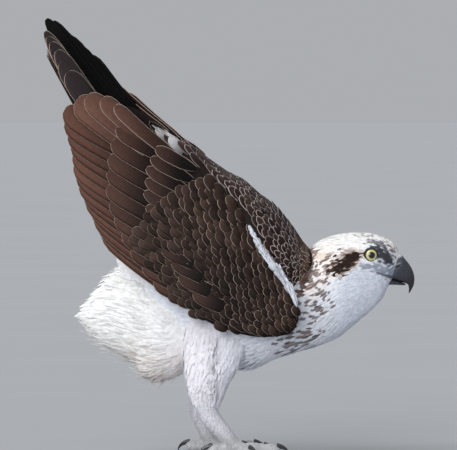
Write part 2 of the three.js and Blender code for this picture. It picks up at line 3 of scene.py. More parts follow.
import bpy
import numpy as np
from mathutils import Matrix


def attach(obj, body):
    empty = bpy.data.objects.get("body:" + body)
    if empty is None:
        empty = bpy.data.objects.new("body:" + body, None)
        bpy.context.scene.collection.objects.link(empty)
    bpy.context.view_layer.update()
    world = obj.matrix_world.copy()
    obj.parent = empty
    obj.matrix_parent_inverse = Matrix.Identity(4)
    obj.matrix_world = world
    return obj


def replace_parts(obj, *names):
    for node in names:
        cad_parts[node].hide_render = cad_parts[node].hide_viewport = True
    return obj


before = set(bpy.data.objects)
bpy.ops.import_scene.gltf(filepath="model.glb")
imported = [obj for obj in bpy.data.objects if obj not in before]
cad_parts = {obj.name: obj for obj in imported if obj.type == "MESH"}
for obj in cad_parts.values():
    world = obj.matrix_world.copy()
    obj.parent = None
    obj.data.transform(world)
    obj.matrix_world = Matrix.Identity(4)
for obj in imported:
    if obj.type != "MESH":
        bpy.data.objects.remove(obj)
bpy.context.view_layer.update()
bpy.ops.object.select_all(action="DESELECT")
print("frame loaded")

# All outlines are in millimetres in the side view, as (x, z). The bird's right side is towards -y.
mm = 0.001
sides = {"Right": -1, "Left": 1}
rng = np.random.default_rng(11)
whitePlume = (0.82, 0.81, 0.80)
ventWhite = (0.91, 0.90, 0.89)
# Painted shade: white plumage drawn greyer and bluer, as it looks in shadow.
shadeWhite = (0.76, 0.79, 0.87)
# Painted shade for the thighs: white drawn dim and lilac.
thighShadeWhite = (0.74, 0.72, 0.77)
creamPlume = (0.90, 0.80, 0.74)
brownPlume = (0.050, 0.028, 0.022)
rustPlume = (0.16, 0.075, 0.045)
darkPlume = (0.014, 0.009, 0.008)
wingUndersideShade = (0.006, 0.005, 0.005)


# Camera

cameraLook = {
    "metresPerPixel": 0.0011,
    "width": 457,
    "centre": (0.0, 0.0, 0.2519),
    "distance": 8.0,
    "elevation": 1.5,
}


def addCamera(look):
    lift = math.radians(look["elevation"])
    x, y, z = look["centre"]
    place = (x, y - look["distance"] * math.cos(lift), z + look["distance"] * math.sin(lift))
    bpy.ops.object.camera_add(location=place, rotation=(math.radians(90) - lift, 0, 0))
    camera = bpy.context.object
    camera.data.sensor_width = 36
    camera.data.lens = 36 * look["distance"] / (look["width"] * look["metresPerPixel"])
    camera.data.clip_end = 50
    bpy.context.scene.camera = camera


addCamera(cameraLook)
bpy.context.scene.view_settings.view_transform = "Standard"


# Shader wiring

# One output socket; sums on it add Math nodes.
class Wire:
    def __init__(self, paint, socket):
        self.paint = paint
        self.socket = socket

    def math(self, operation, a, b):
        return self.paint.add("ShaderNodeMath", {"operation": operation}, {0: a, 1: b})

    def __add__(self, other):
        return self.math("ADD", self, other)

    def __radd__(self, other):
        return self.math("ADD", other, self)

    def __sub__(self, other):
        return self.math("SUBTRACT", self, other)

    def __mul__(self, other):
        return self.math("MULTIPLY", self, other)


class Paint:
    def __init__(self, name, **constants):
        self.material = bpy.data.materials.new(name)
        self.material.use_nodes = True
        self.nodes = self.material.node_tree.nodes
        self.links = self.material.node_tree.links
        self.shader = self.nodes["Principled BSDF"]
        for socket, value in constants.items():
            self.shader.inputs[socket.replace("_", " ")].default_value = value

    def feed(self, socket, value):
        if isinstance(value, Wire):
            self.links.new(value.socket, socket)
        elif isinstance(value, tuple) and len(value) == 3 and socket.type == "RGBA":
            socket.default_value = (*value, 1)
        else:
            socket.default_value = value

    def add(self, kind, settings=None, inputs=None, out=0):
        node = self.nodes.new(kind)
        for key, value in (settings or {}).items():
            setattr(node, key, value)
        for key, value in (inputs or {}).items():
            self.feed(node.inputs[key], value)
        return Wire(self, node.outputs[out])

    def attribute(self, name, out="Fac"):
        return self.add("ShaderNodeAttribute", {"attribute_name": name}, out=out)

    def noise(self, scale, detail=3, rough=0.55, where=None, turn=0.0, stretch=None):
        where = where or self.add("ShaderNodeTexCoord", out="Object")
        if stretch:
            where = self.add("ShaderNodeMapping", inputs={
                "Vector": where, "Rotation": (0, 0, turn), "Scale": stretch})
        return self.add("ShaderNodeTexNoise", inputs={
            "Vector": where, "Scale": scale, "Detail": detail, "Roughness": rough})

    # Distance from the edges between small cells.
    def cells(self, scale):
        return self.add("ShaderNodeTexVoronoi", {"feature": "DISTANCE_TO_EDGE"},
                        {"Vector": self.add("ShaderNodeTexCoord", out="Object"), "Scale": scale}, "Distance")

    def span(self, value, low, high, toLow=0.0, toHigh=1.0):
        return self.add("ShaderNodeMapRange", {"interpolation_type": "SMOOTHSTEP"}, {
            "Value": value, "From Min": low, "From Max": high, "To Min": toLow, "To Max": toHigh})

    def mix(self, factor, a, b, how="MIX"):
        return self.add("ShaderNodeMix", {"data_type": "RGBA", "blend_type": how},
                        {0: factor, 6: a, 7: b}, out=2)

    def darken(self, color, shade):
        grey = self.add("ShaderNodeCombineColor", inputs={0: shade, 1: shade, 2: shade})
        return self.mix(1.0, color, grey, "MULTIPLY")

    def bump(self, height, strength, distance):
        return self.add("ShaderNodeBump", inputs={
            "Height": height, "Strength": strength, "Distance": distance})

    def finish(self, **sockets):
        for name, value in sockets.items():
            self.feed(self.shader.inputs[name.replace("_", " ")], value)
        return self.material


# Plumage: the colour sits in the mesh, and rim is the distance in millimetres from a vane's edge

def plumage(name, paleEdge, edgeWidth, barbs, roughness, relief):
    paint = Paint(name, Specular_IOR_Level=0.1)
    ground = paint.attribute("plume", "Color")
    rim = paint.attribute("rim")
    tone = paint.attribute("edgeTone")
    vane = paint.add("ShaderNodeUVMap", {"uv_map": "vane"})
    mottle = paint.noise(220)
    barb = paint.noise(barbs, 3, 0.6, where=vane, turn=0.62, stretch=(0.35, 3.2, 1))
    edge = paint.span(rim, edgeWidth * 0.35, edgeWidth, 1, 0) * tone
    depth = paint.span(rim, 3, 8, 1, 0.6)  # the skin under the plumage has no rim and keeps its tone
    shade = paint.span(mottle, 0.3, 0.7, 0.9, 1.08) * (1 + depth * relief * (barb - 0.5) * 1.6)
    return paint.finish(
        Base_Color=paint.mix(edge, paint.darken(ground, shade), paleEdge),
        Roughness=paint.span(barb, 0.2, 0.8, roughness - 0.08, roughness + 0.08),
        Normal=paint.bump(barb, relief, 0.0004),
    )


featherPaint = plumage("flightFeather", (0.54, 0.42, 0.35), 0.85, 0.9, 0.6, 0.5)
mantlePaint = plumage("scapularFeather", (0.52, 0.45, 0.42), 0.85, 1.2, 0.6, 0.5)
coatPaint = plumage("bodyFeather", (0.62, 0.54, 0.48), 0.7, 1.6, 0.75, 0.12)
downPaint = plumage("down", (0.8, 0.79, 0.78), 0.5, 1.2, 0.9, 0.08)


# Horn, scaly skin and the like: the colour sits in the mesh, under a small pattern

def hardSurface(name, scale, patternDepth, roughness, relief, coat=0.0, cells=False):
    paint = Paint(name, Coat_Roughness=0.08)
    ground = paint.attribute("plume", "Color")
    grain = paint.noise(scale * 0.35, 4)
    if cells:
        line = paint.span(paint.cells(scale), 0.02, 0.12)
    else:
        line = paint.span(paint.noise(scale, 4, stretch=(1, 1, 0.35)), 0.3, 0.7)
    shade = (1 - patternDepth) + line * patternDepth + (grain - 0.5) * 0.3
    return paint.finish(
        Base_Color=paint.darken(ground, shade),
        Roughness=paint.span(grain, 0.3, 0.7, roughness - 0.08, roughness + 0.1),
        Coat_Weight=coat,
        Normal=paint.bump(line, relief, 0.0003),
    )


hornPaint = hardSurface("horn", 900, 0.14, 0.3, 0.12, 0.25)
cerePaint = hardSurface("cereSkin", 700, 0.25, 0.5, 0.3)
eyePaint = hardSurface("eyeball", 1500, 0.06, 0.25, 0.0, 0.4)
lidPaint = hardSurface("lidSkin", 1400, 0.4, 0.6, 0.5, cells=True)
scalePaint = hardSurface("scalySkin", 520, 0.35, 0.55, 0.8, cells=True)


# Curves, surfaces and meshes

# A smooth curve through rows of numbers, at each t from 0 to 1.
def through(rows, t):
    rows = np.asarray(rows, float)
    last = len(rows) - 1
    place = np.clip(np.asarray(t, float), 0, 1) * last
    i = np.minimum(place.astype(int), last - 1)
    u = (place - i)[..., None]
    p0, p1, p2, p3 = (rows[np.clip(i + k, 0, last)] for k in (-1, 0, 1, 2))
    return 0.5 * (2 * p1 + (p2 - p0) * u + (2 * p0 - 5 * p1 + 4 * p2 - p3) * u**2
                  + (3 * p1 - p0 - 3 * p2 + p3) * u**3)


def smooth(value, low, high):
    t = np.clip((np.asarray(value, float) - low) / (high - low), 0, 1)
    return t * t * (3 - 2 * t)


def unit(v):
    return v / np.maximum(np.linalg.norm(v, axis=-1, keepdims=True), 1e-9)


# The share t of the way from a to b, which are colours or points, or one for each t.
def blend(a, b, t):
    a, b = np.asarray(a), np.asarray(b)
    return a + (b - a) * np.asarray(t)[..., None]


# Smooth random values from about -1 to 1 over space, from a few crossed waves.
def ripple(p, size, salt):
    draw = np.random.default_rng(300 + salt)
    value = 0
    for _ in range(6):
        direction = unit(draw.normal(size=3)) * draw.uniform(0.7, 1.6) / size
        value = value + np.sin(p @ direction * 2 * math.pi + draw.uniform(0, 6.28))
    return value / 3.2


# A closed body round chords in the side view: upper point, lower point, half width, and how
# far the width moves up. A seventh number is the part's own place across the bird.
class Loft:
    def __init__(self, rows, side=1, inset=0):
        self.rows = rows
        self.side = side
        self.inset = inset

    def at(self, u, v, grow=0.0):
        row = through(self.rows, v)
        topX, topZ, lowX, lowZ, half, high = (row[..., k] for k in range(6))
        middle = self.side * row[..., 6] if row.shape[-1] > 6 else 0.0
        inset = self.inset(v) if callable(self.inset) else self.inset
        grow = grow - inset
        length = np.hypot(topX - lowX, topZ - lowZ) / 2
        angle = 2 * math.pi * np.asarray(u)
        up = np.cos(angle) * np.maximum(length + grow, 0.5) / length
        out = np.sin(angle) * (1 + high * np.cos(angle)) * np.maximum(half + grow, 0.5)
        return np.stack([(topX + lowX) / 2 + (topX - lowX) / 2 * up, middle + out,
                         (topZ + lowZ) / 2 + (topZ - lowZ) / 2 * up], -1)

    # The point, the way out of the surface and the way towards the rear.
    def frame(self, u, v):
        e = 0.004
        here = self.at(u, v)
        back = unit(self.at(u, np.minimum(v + e, 1)) - self.at(u, np.maximum(v - e, 0)))
        round_ = self.at(u + e, v) - self.at(u - e, v)
        out = unit(np.cross(round_, back))
        middle = (self.at(np.zeros_like(u), v) + self.at(np.full_like(u, 0.5), v)) / 2
        out = out * np.sign(np.sum(out * (here - middle), -1, keepdims=True))
        return here, out, back


# How far along a path each of its points lies.
def runAlong(path):
    return np.concatenate([[0], np.cumsum(np.linalg.norm(np.diff(path, axis=0), axis=1))])


# Root places in staggered rings, row by row towards the rear. The steps are mm, or functions of v.
def roots(loft, vFrom, vTo, rowStep, columnStep, jitter=0.25):
    line = np.linspace(vFrom, vTo, 300)
    run = runAlong(loft.at(np.full(300, 0.25), line))
    round_ = np.linspace(0, 1, 73)
    us, vs = [], []
    s, row = 0.0, 0
    while s < run[-1]:
        v = float(np.interp(s, run, line))
        step, gap = (each(v) if callable(each) else each for each in (rowStep, columnStep))
        lap = runAlong(loft.at(round_, np.full(73, v)))
        count = max(int(lap[-1] / gap), 5)
        k = (np.arange(count) + 0.5 * (row % 2) + rng.uniform(-jitter, jitter, count)) / count
        us.append(np.interp((k % 1) * lap[-1], lap, round_))
        shift = step * jitter / max(run[-1], 1) * (vTo - vFrom)
        vs.append(np.clip(v + rng.uniform(-shift, shift, count), 0, 1))
        s += step
        row += 1
    return np.concatenate(us), np.concatenate(vs)


def only(keep, *rows):
    return (row[keep] for row in rows)


# A new object from points and lists of equally sided faces, turned outwards.
def meshFromArrays(name, points, faces, smoothFaces):
    tri = np.concatenate([np.stack([f[:, 0], f[:, i], f[:, i + 1]], -1)
                          for f in faces for i in range(1, f.shape[1] - 1)])
    a, b, c = (points[tri[:, k]] for k in range(3))
    if np.sum(a * np.cross(b, c)) < 0:
        faces = [f[:, ::-1] for f in faces]
    mesh = bpy.data.meshes.new(name)
    mesh.vertices.add(len(points))
    mesh.vertices.foreach_set("co", points.astype(np.float32).ravel())
    loops = np.concatenate([f.ravel() for f in faces]).astype(np.int32)
    totals = np.concatenate([np.full(len(f), f.shape[1]) for f in faces]).astype(np.int32)
    mesh.loops.add(len(loops))
    mesh.loops.foreach_set("vertex_index", loops)
    mesh.polygons.add(len(totals))
    starts = np.concatenate([[0], np.cumsum(totals)[:-1]])
    mesh.polygons.foreach_set("loop_start", starts.astype(np.int32))
    mesh.polygons.foreach_set("loop_total", totals)
    mesh.polygons.foreach_set("use_smooth", np.full(len(totals), smoothFaces))
    mesh.update(calc_edges=True)
    piece = bpy.data.objects.new(name, mesh)
    bpy.context.scene.collection.objects.link(piece)
    return piece, loops


def putNumber(mesh, name, values):
    mesh.attributes.new(name, "FLOAT", "POINT").data.foreach_set("value", values.astype(np.float32).ravel())


# The plumage or skin colour at each point.
def putColor(mesh, values):
    rgba = np.concatenate([np.clip(values, 0, 1), np.ones((len(values), 1))], 1).astype(np.float32)
    layer = mesh.color_attributes.new(name="plume", type="FLOAT_COLOR", domain="POINT")
    layer.data.foreach_set("color", rgba.ravel())


def putUv(mesh, name, perPoint, loops):
    layer = mesh.uv_layers.new(name=name)
    layer.data.foreach_set("uv", perPoint[loops].astype(np.float32).ravel())


def pointsOf(mesh):
    flat = np.empty(len(mesh.vertices) * 3, np.float32)
    mesh.vertices.foreach_get("co", flat)
    return flat.reshape(-1, 3).astype(float)


def movePoints(mesh, place):
    mesh.vertices.foreach_set("co", (place * mm).astype(np.float32).ravel())


# One mesh whose points are surface(u, v), u round it and v along it, welded where it meets itself.
# Its colour is color(points, u, v), and tile is the corner and size of its place on the bake map.
def gridPiece(name, surface, around, along, color, closeEnds=True, tile=None):
    bpy.ops.mesh.primitive_grid_add(x_subdivisions=around, y_subdivisions=along, size=1)
    piece = bpy.context.object
    piece.name = name
    mesh = piece.data
    u, v, _ = (pointsOf(mesh) + 0.5).T
    place = surface(u, v)
    if closeEnds:
        for end in (0.0, 1.0):
            place[np.abs(v - end) < 0.001] = surface(u, np.full_like(v, end)).mean(0)
    movePoints(mesh, place)
    putColor(mesh, color(place, u, v))
    layer = mesh.uv_layers[0]
    layer.name = "OFBake"
    if tile:
        uv = np.empty(len(mesh.loops) * 2, np.float32)
        layer.data.foreach_get("uv", uv)
        uv = np.array(tile[0]) + uv.reshape(-1, 2) * np.array(tile[1])
        layer.data.foreach_set("uv", uv.astype(np.float32).ravel())
        putNumber(mesh, "rim", np.full(len(place), 9.0))
        putNumber(mesh, "edgeTone", np.zeros(len(place)))
    bpy.ops.object.mode_set(mode="EDIT")
    bpy.ops.mesh.select_all(action="SELECT")
    bpy.ops.mesh.remove_doubles(threshold=0.00002)
    bpy.ops.mesh.normals_make_consistent(inside=False)
    bpy.ops.object.mode_set(mode="OBJECT")
    bpy.ops.object.shade_smooth()
    return piece


def dress(piece, paint):
    piece.data.materials.clear()
    piece.data.materials.append(paint)
    bpy.ops.object.select_all(action="DESELECT")
    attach(piece, "root")
    return piece


def surfacePiece(name, surface, around, along, paint, color, closeEnds=True):
    return dress(gridPiece(name, surface, around, along, color, closeEnds), paint)


def joined(name, pieces):
    bpy.ops.object.select_all(action="DESELECT")
    for piece in pieces:
        piece.select_set(True)
    bpy.context.view_layer.objects.active = pieces[0]
    bpy.ops.object.join()
    whole = bpy.context.object
    whole.name = name
    return whole


# Colours along a run, from rows of (place, colour).
def ramp(rows, t):
    places = [r[0] for r in rows]
    return np.stack([np.interp(t, places, [r[1][k] for r in rows]) for k in range(3)], -1)


# Colours for gridPiece: one tone all over, or a ramp from end to end.
def plain(tone):
    return lambda p, *rest: np.tile(tone, (len(p), 1))


def lengthwise(tones):
    return lambda p, u, v: ramp(tones, v)


# Closed vanes, each a run of flat rings that ends in one tip point.
def ringMesh(name, rings, tips, colors, rim, edgeTone, vane, bake, paint, smoothFaces=True):
    n, a, r = rings.shape[:3]
    per = a * r + 1
    k = np.arange(a - 1)[:, None]
    j = np.arange(r)[None, :]
    nextJ = (j + 1) % r
    corners = (k * r + j, (k + 1) * r + j, (k + 1) * r + nextJ, k * r + nextJ)
    quads = np.stack(np.broadcast_arrays(*corners), -1).reshape(-1, 4)
    last = (a - 1) * r
    tri = np.stack([last + np.arange(r), np.full(r, a * r), last + (np.arange(r) + 1) % r], -1)
    base = np.arange(r)[None, :]
    offset = (np.arange(n) * per)[:, None, None]
    faces = [(f[None] + offset).reshape(-1, f.shape[1]) for f in (quads, tri, base)]

    def flat(onRings, onTips):
        rest = onRings.shape[3:]
        both = [onRings.reshape(n, a * r, *rest), onTips.reshape(n, 1, *rest)]
        return np.concatenate(both, 1).reshape(-1, *rest)

    piece, loops = meshFromArrays(name, flat(rings, tips) * mm, faces, smoothFaces)
    mesh = piece.data
    putColor(mesh, flat(*colors))
    putNumber(mesh, "rim", flat(rim, np.zeros(n)))
    putNumber(mesh, "edgeTone", flat(np.broadcast_to(edgeTone[:, None, None], (n, a, r)), edgeTone))
    putUv(mesh, "OFBake", flat(*bake), loops)
    putUv(mesh, "vane", flat(*vane), loops)
    return dress(piece, paint)


# Small feathers: a bent, cupped lens along each root's lie

vaneShape = {
    "round": ([0, 0.28, 0.62, 0.88], [0.45, 0.92, 1.0, 0.66]),
    "leaf": ([0, 0.30, 0.66, 0.90], [0.45, 1.0, 0.86, 0.45]),
    "wisp": ([0, 0.35, 0.70, 0.92], [0.8, 1.0, 0.62, 0.26]),
}


# edge is how pale the edges are; spot is how much of spotColor lies on each feather's middle.
def growFeathers(name, here, out, back, length, width, color, tipColor, uv, shape, lift, curl, sink,
                 cup=0.1, thick=0.25, edge=0.0, spot=None, spotColor=None,
                 paint=coatPaint):
    n = len(here)
    shares, widths = vaneShape[shape]
    shares, widths = np.array(shares), np.array(widths)
    across = unit(np.cross(out, back))
    lift = np.broadcast_to(lift, n)
    curl = np.broadcast_to(curl, n)
    at = here - out * sink
    centres, ups = [], []
    steps = np.append(np.diff(shares), 1 - shares[-1])
    for k in range(len(shares) + 1):
        angle = lift - curl * (shares[k] if k < len(shares) else 1)
        ahead = back * np.cos(angle)[:, None] + out * np.sin(angle)[:, None]
        centres.append(at)
        ups.append(unit(np.cross(ahead, across)))
        if k < len(shares):
            at = at + ahead * (length * steps[k])[:, None]
    if np.sum(ups[0] * out) < 0:
        ups = [-u for u in ups]
    rings, rim, vane, colors = [], [], [], []
    for k, share in enumerate(shares):
        half = (width / 2 * widths[k])[:, None]
        left = centres[k] - across * half - ups[k] * half * cup
        right = centres[k] + across * half - ups[k] * half * cup
        top = centres[k] + ups[k] * thick / 2
        low = centres[k] - ups[k] * (thick / 2 + half * cup * 0.3)
        rings.append(np.stack([left, top, right, low], 1))
        nearTip = ((1 - share) * length)[:, None]
        rim.append(np.minimum(half, nearTip) * np.array([0, 1, 0, 1]))
        along = np.broadcast_to((share * length)[:, None], (n, 4))
        vane.append(np.stack([half * np.array([-1, 0, 1, 0]), along], -1))
        tone = blend(color, tipColor, np.full(n, share))
        middleTone = tone
        if spot is not None and 0 < k:
            middleTone = blend(tone, spotColor, spot)
            tone = blend(tone, spotColor, spot * 0.12)
        colors.append(np.stack([tone, middleTone, tone, tone], 1))
    rings, rim, vane, colors = (np.stack(x, 1) for x in (rings, rim, vane, colors))
    patch = 0.003
    own = np.array([[-0.5, 0], [0, 0.15], [0.5, 0], [0, -0.15]]) * patch
    bakeRings = uv[:, None, None] + own[None, None] + (shares * patch)[None, :, None, None] * np.array([0, 1])
    bakeTips = uv + np.array([0, patch])
    return ringMesh(name, rings, centres[-1], (colors, tipColor), rim, np.broadcast_to(edge, n),
                    (vane, np.stack([np.zeros(n), length], -1)), (bakeRings, bakeTips), paint,
                    smoothFaces=False)


# Body outlines

bodyRows = [
    (188, 219, 179, 190, 9, 0),
    (184, 230, 175, 183, 14.5, 0.1),
    (173, 238, 169, 171, 19.5, 0.2),
    (157, 243, 162, 163, 23.5, 0.24),
    (140, 244, 156, 157, 26, 0.2),
    (122, 242, 148, 150, 28, 0.15),
    (104, 237, 137, 140, 31, 0.05),
    (91, 230, 124, 128, 37, 0),
    (80, 228, 107, 118, 46, 0),
    (65, 238, 83, 109, 56, 0),
    (43, 253, 58, 101, 62, 0),
    (12, 268, 29, 90, 64, 0),
    (-21, 279, -8, 90, 62, 0),
    (-52, 283, -42, 103, 55, 0),
    (-79, 279, -76, 125, 46, 0),
    (-101, 267, -105, 158, 34, 0),
    (-114, 246, -122, 198, 20, 0),
]
mantleRows = [
    (92, 227, 92, 190, 30, 0),
    (84, 236, 74, 160, 48, 0),
    (73, 251, 55, 150, 61, 0),
    (57.5, 270, 38, 150, 68, 0),
    (41, 284, 20, 175, 67, 0.1),
    (25, 297, 3, 205, 60, 0.1),
    (9, 307, -12, 232, 51, 0.1),
    (-7, 317.5, -27, 256, 43, 0.05),
    (-22, 328.5, -42, 278, 36, 0),
    (-38, 339.5, -56, 300, 29, 0),
    (-54, 348, -68, 320, 21, 0),
    (-68, 356, -76, 340, 10, 0),
]
mantleBorder = [(79, 168), (64, 200), (42, 238), (25, 268), (-4, 296), (-32, 318), (-54, 334), (-74, 350)]
ventRows = [
    (-43, 188, -50, 87, 38, 0),
    (-62, 197, -66, 81, 42, 0),
    (-80, 204, -83, 82, 41, 0),
    (-97, 207, -97, 96, 38, 0),
    (-113, 207, -112, 106, 33, 0),
    (-127, 198, -127, 115, 27, 0),
    (-139, 184, -139, 126, 20, 0),
    (-149, 167, -149, 139, 10, 0),
]
thighRows = [
    (-52, 190, 42, 180, 16, 0, 32),
    (-52, 158, 30, 140, 19, 0, 33),
    (-52, 118, 18, 105, 22, 0, 36),
    (-50, 86, 5, 81, 20, 0, 38),
    (-46, 66, -2, 65, 15.5, 0, 38),
    (-41, 55, -6, 56, 11, 0, 38),
]


def bodyInset(v):
    return 1.1 + 5.4 * smooth(v, 0.3, 0.6)


body = Loft(bodyRows, inset=bodyInset)
mantle = Loft(mantleRows, inset=4)
vent = Loft(ventRows, inset=1)
thighs = {name: Loft(thighRows, side, 3) for name, side in sides.items()}


# Whether each (x, z) lies inside a closed outline.
def insideOutline(x, z, outline):
    inside = np.zeros(len(x), bool)
    points = list(outline)
    for (x0, z0), (x1, z1) in zip(points, points[1:] + points[:1]):
        crosses = (z0 > z) != (z1 > z)
        where = x0 + (z - z0) / ((z1 - z0) or 1e-9) * (x1 - x0)
        inside ^= crosses & (x < where)
    return inside


# 1 in the middle of a stroke of (x, z, half thickness), falling to 0 at its edge.
def strokeMask(x, z, stroke):
    best = np.full(np.shape(x), -9.0)
    for (x0, z0, r0), (x1, z1, r1) in zip(stroke, stroke[1:]):
        dx, dz = x1 - x0, z1 - z0
        t = np.clip(((x - x0) * dx + (z - z0) * dz) / (dx * dx + dz * dz), 0, 1)
        far = np.hypot(x - x0 - t * dx, z - z0 - t * dz)
        best = np.maximum(best, 1 - far / (r0 + (r1 - r0) * t))
    return best


faceMarks = {
    # strokes of (x, z, half thickness)
    "eyeStripe": [(144, 221, 3), (140, 218, 7), (133, 214, 10.5), (125, 209, 11), (118, 205.5, 8.5),
                  (112, 203, 5)],
    "lores": [(158, 226, 4), (165, 223.5, 7), (170, 220, 9.5), (175, 215.5, 7.5), (177, 212, 5)],
    "blueSkin": [(146, 208, 3), (157, 207, 5.5), (168, 205, 8), (181, 201, 9)],
    "mouthLine": [(163, 201, 0.9), (171, 198, 1.5), (182, 194, 2.1)],
    "brow": [(150, 233, 2), (160, 234, 4.5), (170, 230, 5), (181, 223, 5)],
    "neckSide": [(112, 226, 6), (104, 210, 13), (97, 195, 14), (90, 182, 11)],
    "nape": [(93, 223, 7), (101, 220, 8), (109, 217, 5)],
    "collar": [(90, 232, 5), (87, 214, 7), (84, 196, 7), (81, 182, 6)],
}
faceTones = {
    "cheekShade": (0.63, 0.67, 0.76),
    "nape": (0.66, 0.50, 0.40),
    "brow": (0.14, 0.14, 0.17),
    "stripeFringe": (0.46, 0.38, 0.34),
    "stripeBrown": (0.16, 0.09, 0.07),
    "blueSkin": (0.24, 0.27, 0.34),
    "mouth": (0.06, 0.065, 0.08),
    "loresFringe": (0.20, 0.22, 0.28),
    "lores": (0.034, 0.036, 0.044),
}


# The colour of head, neck and underparts at each point, with painted shade on the underparts and the cheek.
def bodyColor(p, *rest):
    x, y, z = p.T
    wave = ripple(p, 14, 1)
    fine = ripple(p, 5, 2)
    threads = ripple(p * np.array([0.35, 1, 1]), 3.2, 3)
    sides = smooth(np.abs(y), 6, 11)
    color = whitePlume

    def wash(tone, amount):
        nonlocal color
        color = blend(color, tone, np.clip(amount, 0, 1))

    # Lays a tone over a mark whose edge is frayed, faint at one depth in it and full at another.
    def mark(name, tone, amount, fray, faint, full):
        wash(tone, amount * smooth(strokeMask(x, z, faceMarks[name]) + fray, faint, full))

    # Painted shade: the underparts greyer and bluer from the breast down, where they turn from the light.
    wash(shadeWhite, 0.9 * (1 - smooth(z + 0.25 * (x - 120) * (x > 120), 165, 222)) + 0.05 * wave)
    # Painted shade on the cheek and throat: the white drawn bluish grey.
    wash(faceTones["cheekShade"], 0.9 * smooth(x, 108, 135) * (1 - smooth(z, 200, 222)))
    color = color * (1 - 0.07 * smooth(threads, 0.1, 0.8) * smooth(x, 90, 110))[:, None]
    mark("neckSide", creamPlume, 0.5, 0.3 * wave, -0.2, 0.5)
    mark("nape", faceTones["nape"], 0.5, 0.5 * threads, 0.0, 0.7)
    mark("collar", brownPlume, 0.9, 0.3 * fine, 0.1, 0.5)
    mark("brow", faceTones["brow"], 0.85 * sides, 0.9 * threads, 0.35, 0.75)
    ragged = (0.3 + 0.45 * smooth(-x, -138, -112)) * threads
    mark("eyeStripe", faceTones["stripeFringe"], 0.75 * sides, ragged, -0.4, 0.1)
    mark("eyeStripe", faceTones["stripeBrown"], sides, ragged, 0.0, 0.4)
    mark("eyeStripe", darkPlume, 0.94 * sides, ragged, 0.2, 0.6)
    mark("blueSkin", faceTones["blueSkin"], 0.85, 0.6 * threads, 0.0, 0.7)
    mark("mouthLine", faceTones["mouth"], 0.85, 0.2 * fine, -0.1, 0.4)
    mark("lores", faceTones["loresFringe"], 0.8 * sides, 0.5 * threads, -0.25, 0.3)
    mark("lores", faceTones["lores"], 0.95 * sides, 0.3 * threads, 0.1, 0.6)
    return color


# White at the vent, creamier low down and towards the thighs, with painted shade (greyer and bluer) towards
# the front.
def ventColor(p, *rest):
    x, _, z = p.T
    cream = (1 - smooth(z, 90, 140)) * (0.3 + 0.3 * smooth(x, -110, -70) + 0.2 * ripple(p, 18, 9))
    return blend(blend(ventWhite, creamPlume, np.clip(cream, 0, 1)), shadeWhite, 0.25 * smooth(x, -90, -55))


# Painted shade: the thighs a dim lilac white, greyer and bluer still towards the front.
def thighColor(p, *rest):
    return blend(thighShadeWhite, shadeWhite, 0.6 * smooth(p[:, 0], -25, 5))


# Wings: a sheet whose depth is a formula of its place in the side view

wingSheet = {
    "wrist": (62, 150),
    "axis": (-0.642, 0.766),
    "reach": 420,
    "shoulderDepth": 74,
    "tipDepth": 36,
    "bendFrom": 25,  # mm under the axis; above that the sheet bends inwards
    "bendWidth": 60,
    "bendDepth": 6,
    "bendGrowth": 0.06,  # mm more of place and depth for each mm along the wing
}
wingCoreRows = [
    # low x, low z, up x, up z, thickness
    (77, 150, 75, 168, 12),
    (68, 136, 66, 187, 18),
    (47, 131.5, 51.5, 211, 20),
    (23, 132.5, 36, 236, 20),
    (-4, 140, 21.5, 261, 20),
    (-28, 151, -1.5, 286, 18),
    (-46, 165, -23.5, 305, 17),
    (-63, 188, -43, 319.5, 16),
    (-81, 212, -62.5, 333.5, 14),
    (-97, 238, -81, 346.5, 12),
    (-111, 264, -98.5, 359, 9),
    (-124, 290, -115, 369, 7),
    (-134, 314, -127, 376, 5),
]
wingOutline = [row[:2] for row in wingCoreRows] + [row[2:4] for row in wingCoreRows[::-1]]
farWingShift = np.array([9, 0, 13])  # the left wing is held a little higher


def wingAlongDown(x, z):
    ax, az = wingSheet["axis"]
    dx, dz = x - wingSheet["wrist"][0], z - wingSheet["wrist"][1]
    return np.clip(dx * ax + dz * az, 0, wingSheet["reach"]), -dx * az + dz * ax


def wingDepth(x, z):
    along, down = wingAlongDown(x, z)
    deep = wingSheet["shoulderDepth"]
    base = deep - (deep - wingSheet["tipDepth"]) * (along / wingSheet["reach"]) ** 1.5
    grown = wingSheet["bendGrowth"] * along
    over = np.maximum(wingSheet["bendFrom"] + grown - down, 0) / wingSheet["bendWidth"]
    return base - (wingSheet["bendDepth"] + grown) * over * over


# A point of a wing's sheet, raised by rise; side is -1 on the bird's right.
def onWing(x, z, rise, side):
    point = np.stack(np.broadcast_arrays(x, side * (wingDepth(x, z) + rise), z), -1)
    return point + farWingShift if side > 0 else point


def arc(points, t):
    a, b, c = (np.array(p, float) for p in points)
    t = np.asarray(t)[..., None]
    return (a * (1 - t) + b * t) * (1 - t) + (b * (1 - t) + c * t) * t


vaneShares = np.array([0, 0.08, 0.18, 0.3, 0.44, 0.58, 0.7, 0.8, 0.88, 0.94, 0.975, 0.993])
wispShares = np.array([0, 0.15, 0.35, 0.6, 0.8, 0.94])


# The share of its full width that a round-ended vane has at each share of its length.
def roundWidths(shares, blunt):
    toTip = np.clip((shares - (1 - blunt)) / blunt, 0, 1)
    nearRoot = np.interp(shares, [0, 0.1, 0.3, 0.7], [0.4, 0.66, 0.92, 1])
    return nearRoot * np.sqrt(np.maximum(1 - toTip**2.2, 0.02))


# One vane for makeVanes: its rings, tip, distance from the edge, own (across, along) and length.
def closedVane(top, low, tip, c, half, shares, length):
    rim = np.minimum(half * (1 - np.abs(c)), np.sqrt(np.maximum((1 - shares) * length, 0.01)) * 1.6)
    own = np.stack(np.broadcast_arrays(c * half, shares * length), -1)
    rings, rims, owns = (np.concatenate([over, under[:, -2:0:-1]], 1)
                         for over, under in ((top, low), (rim, rim), (own, own)))
    return rings, tip, rims, owns, length


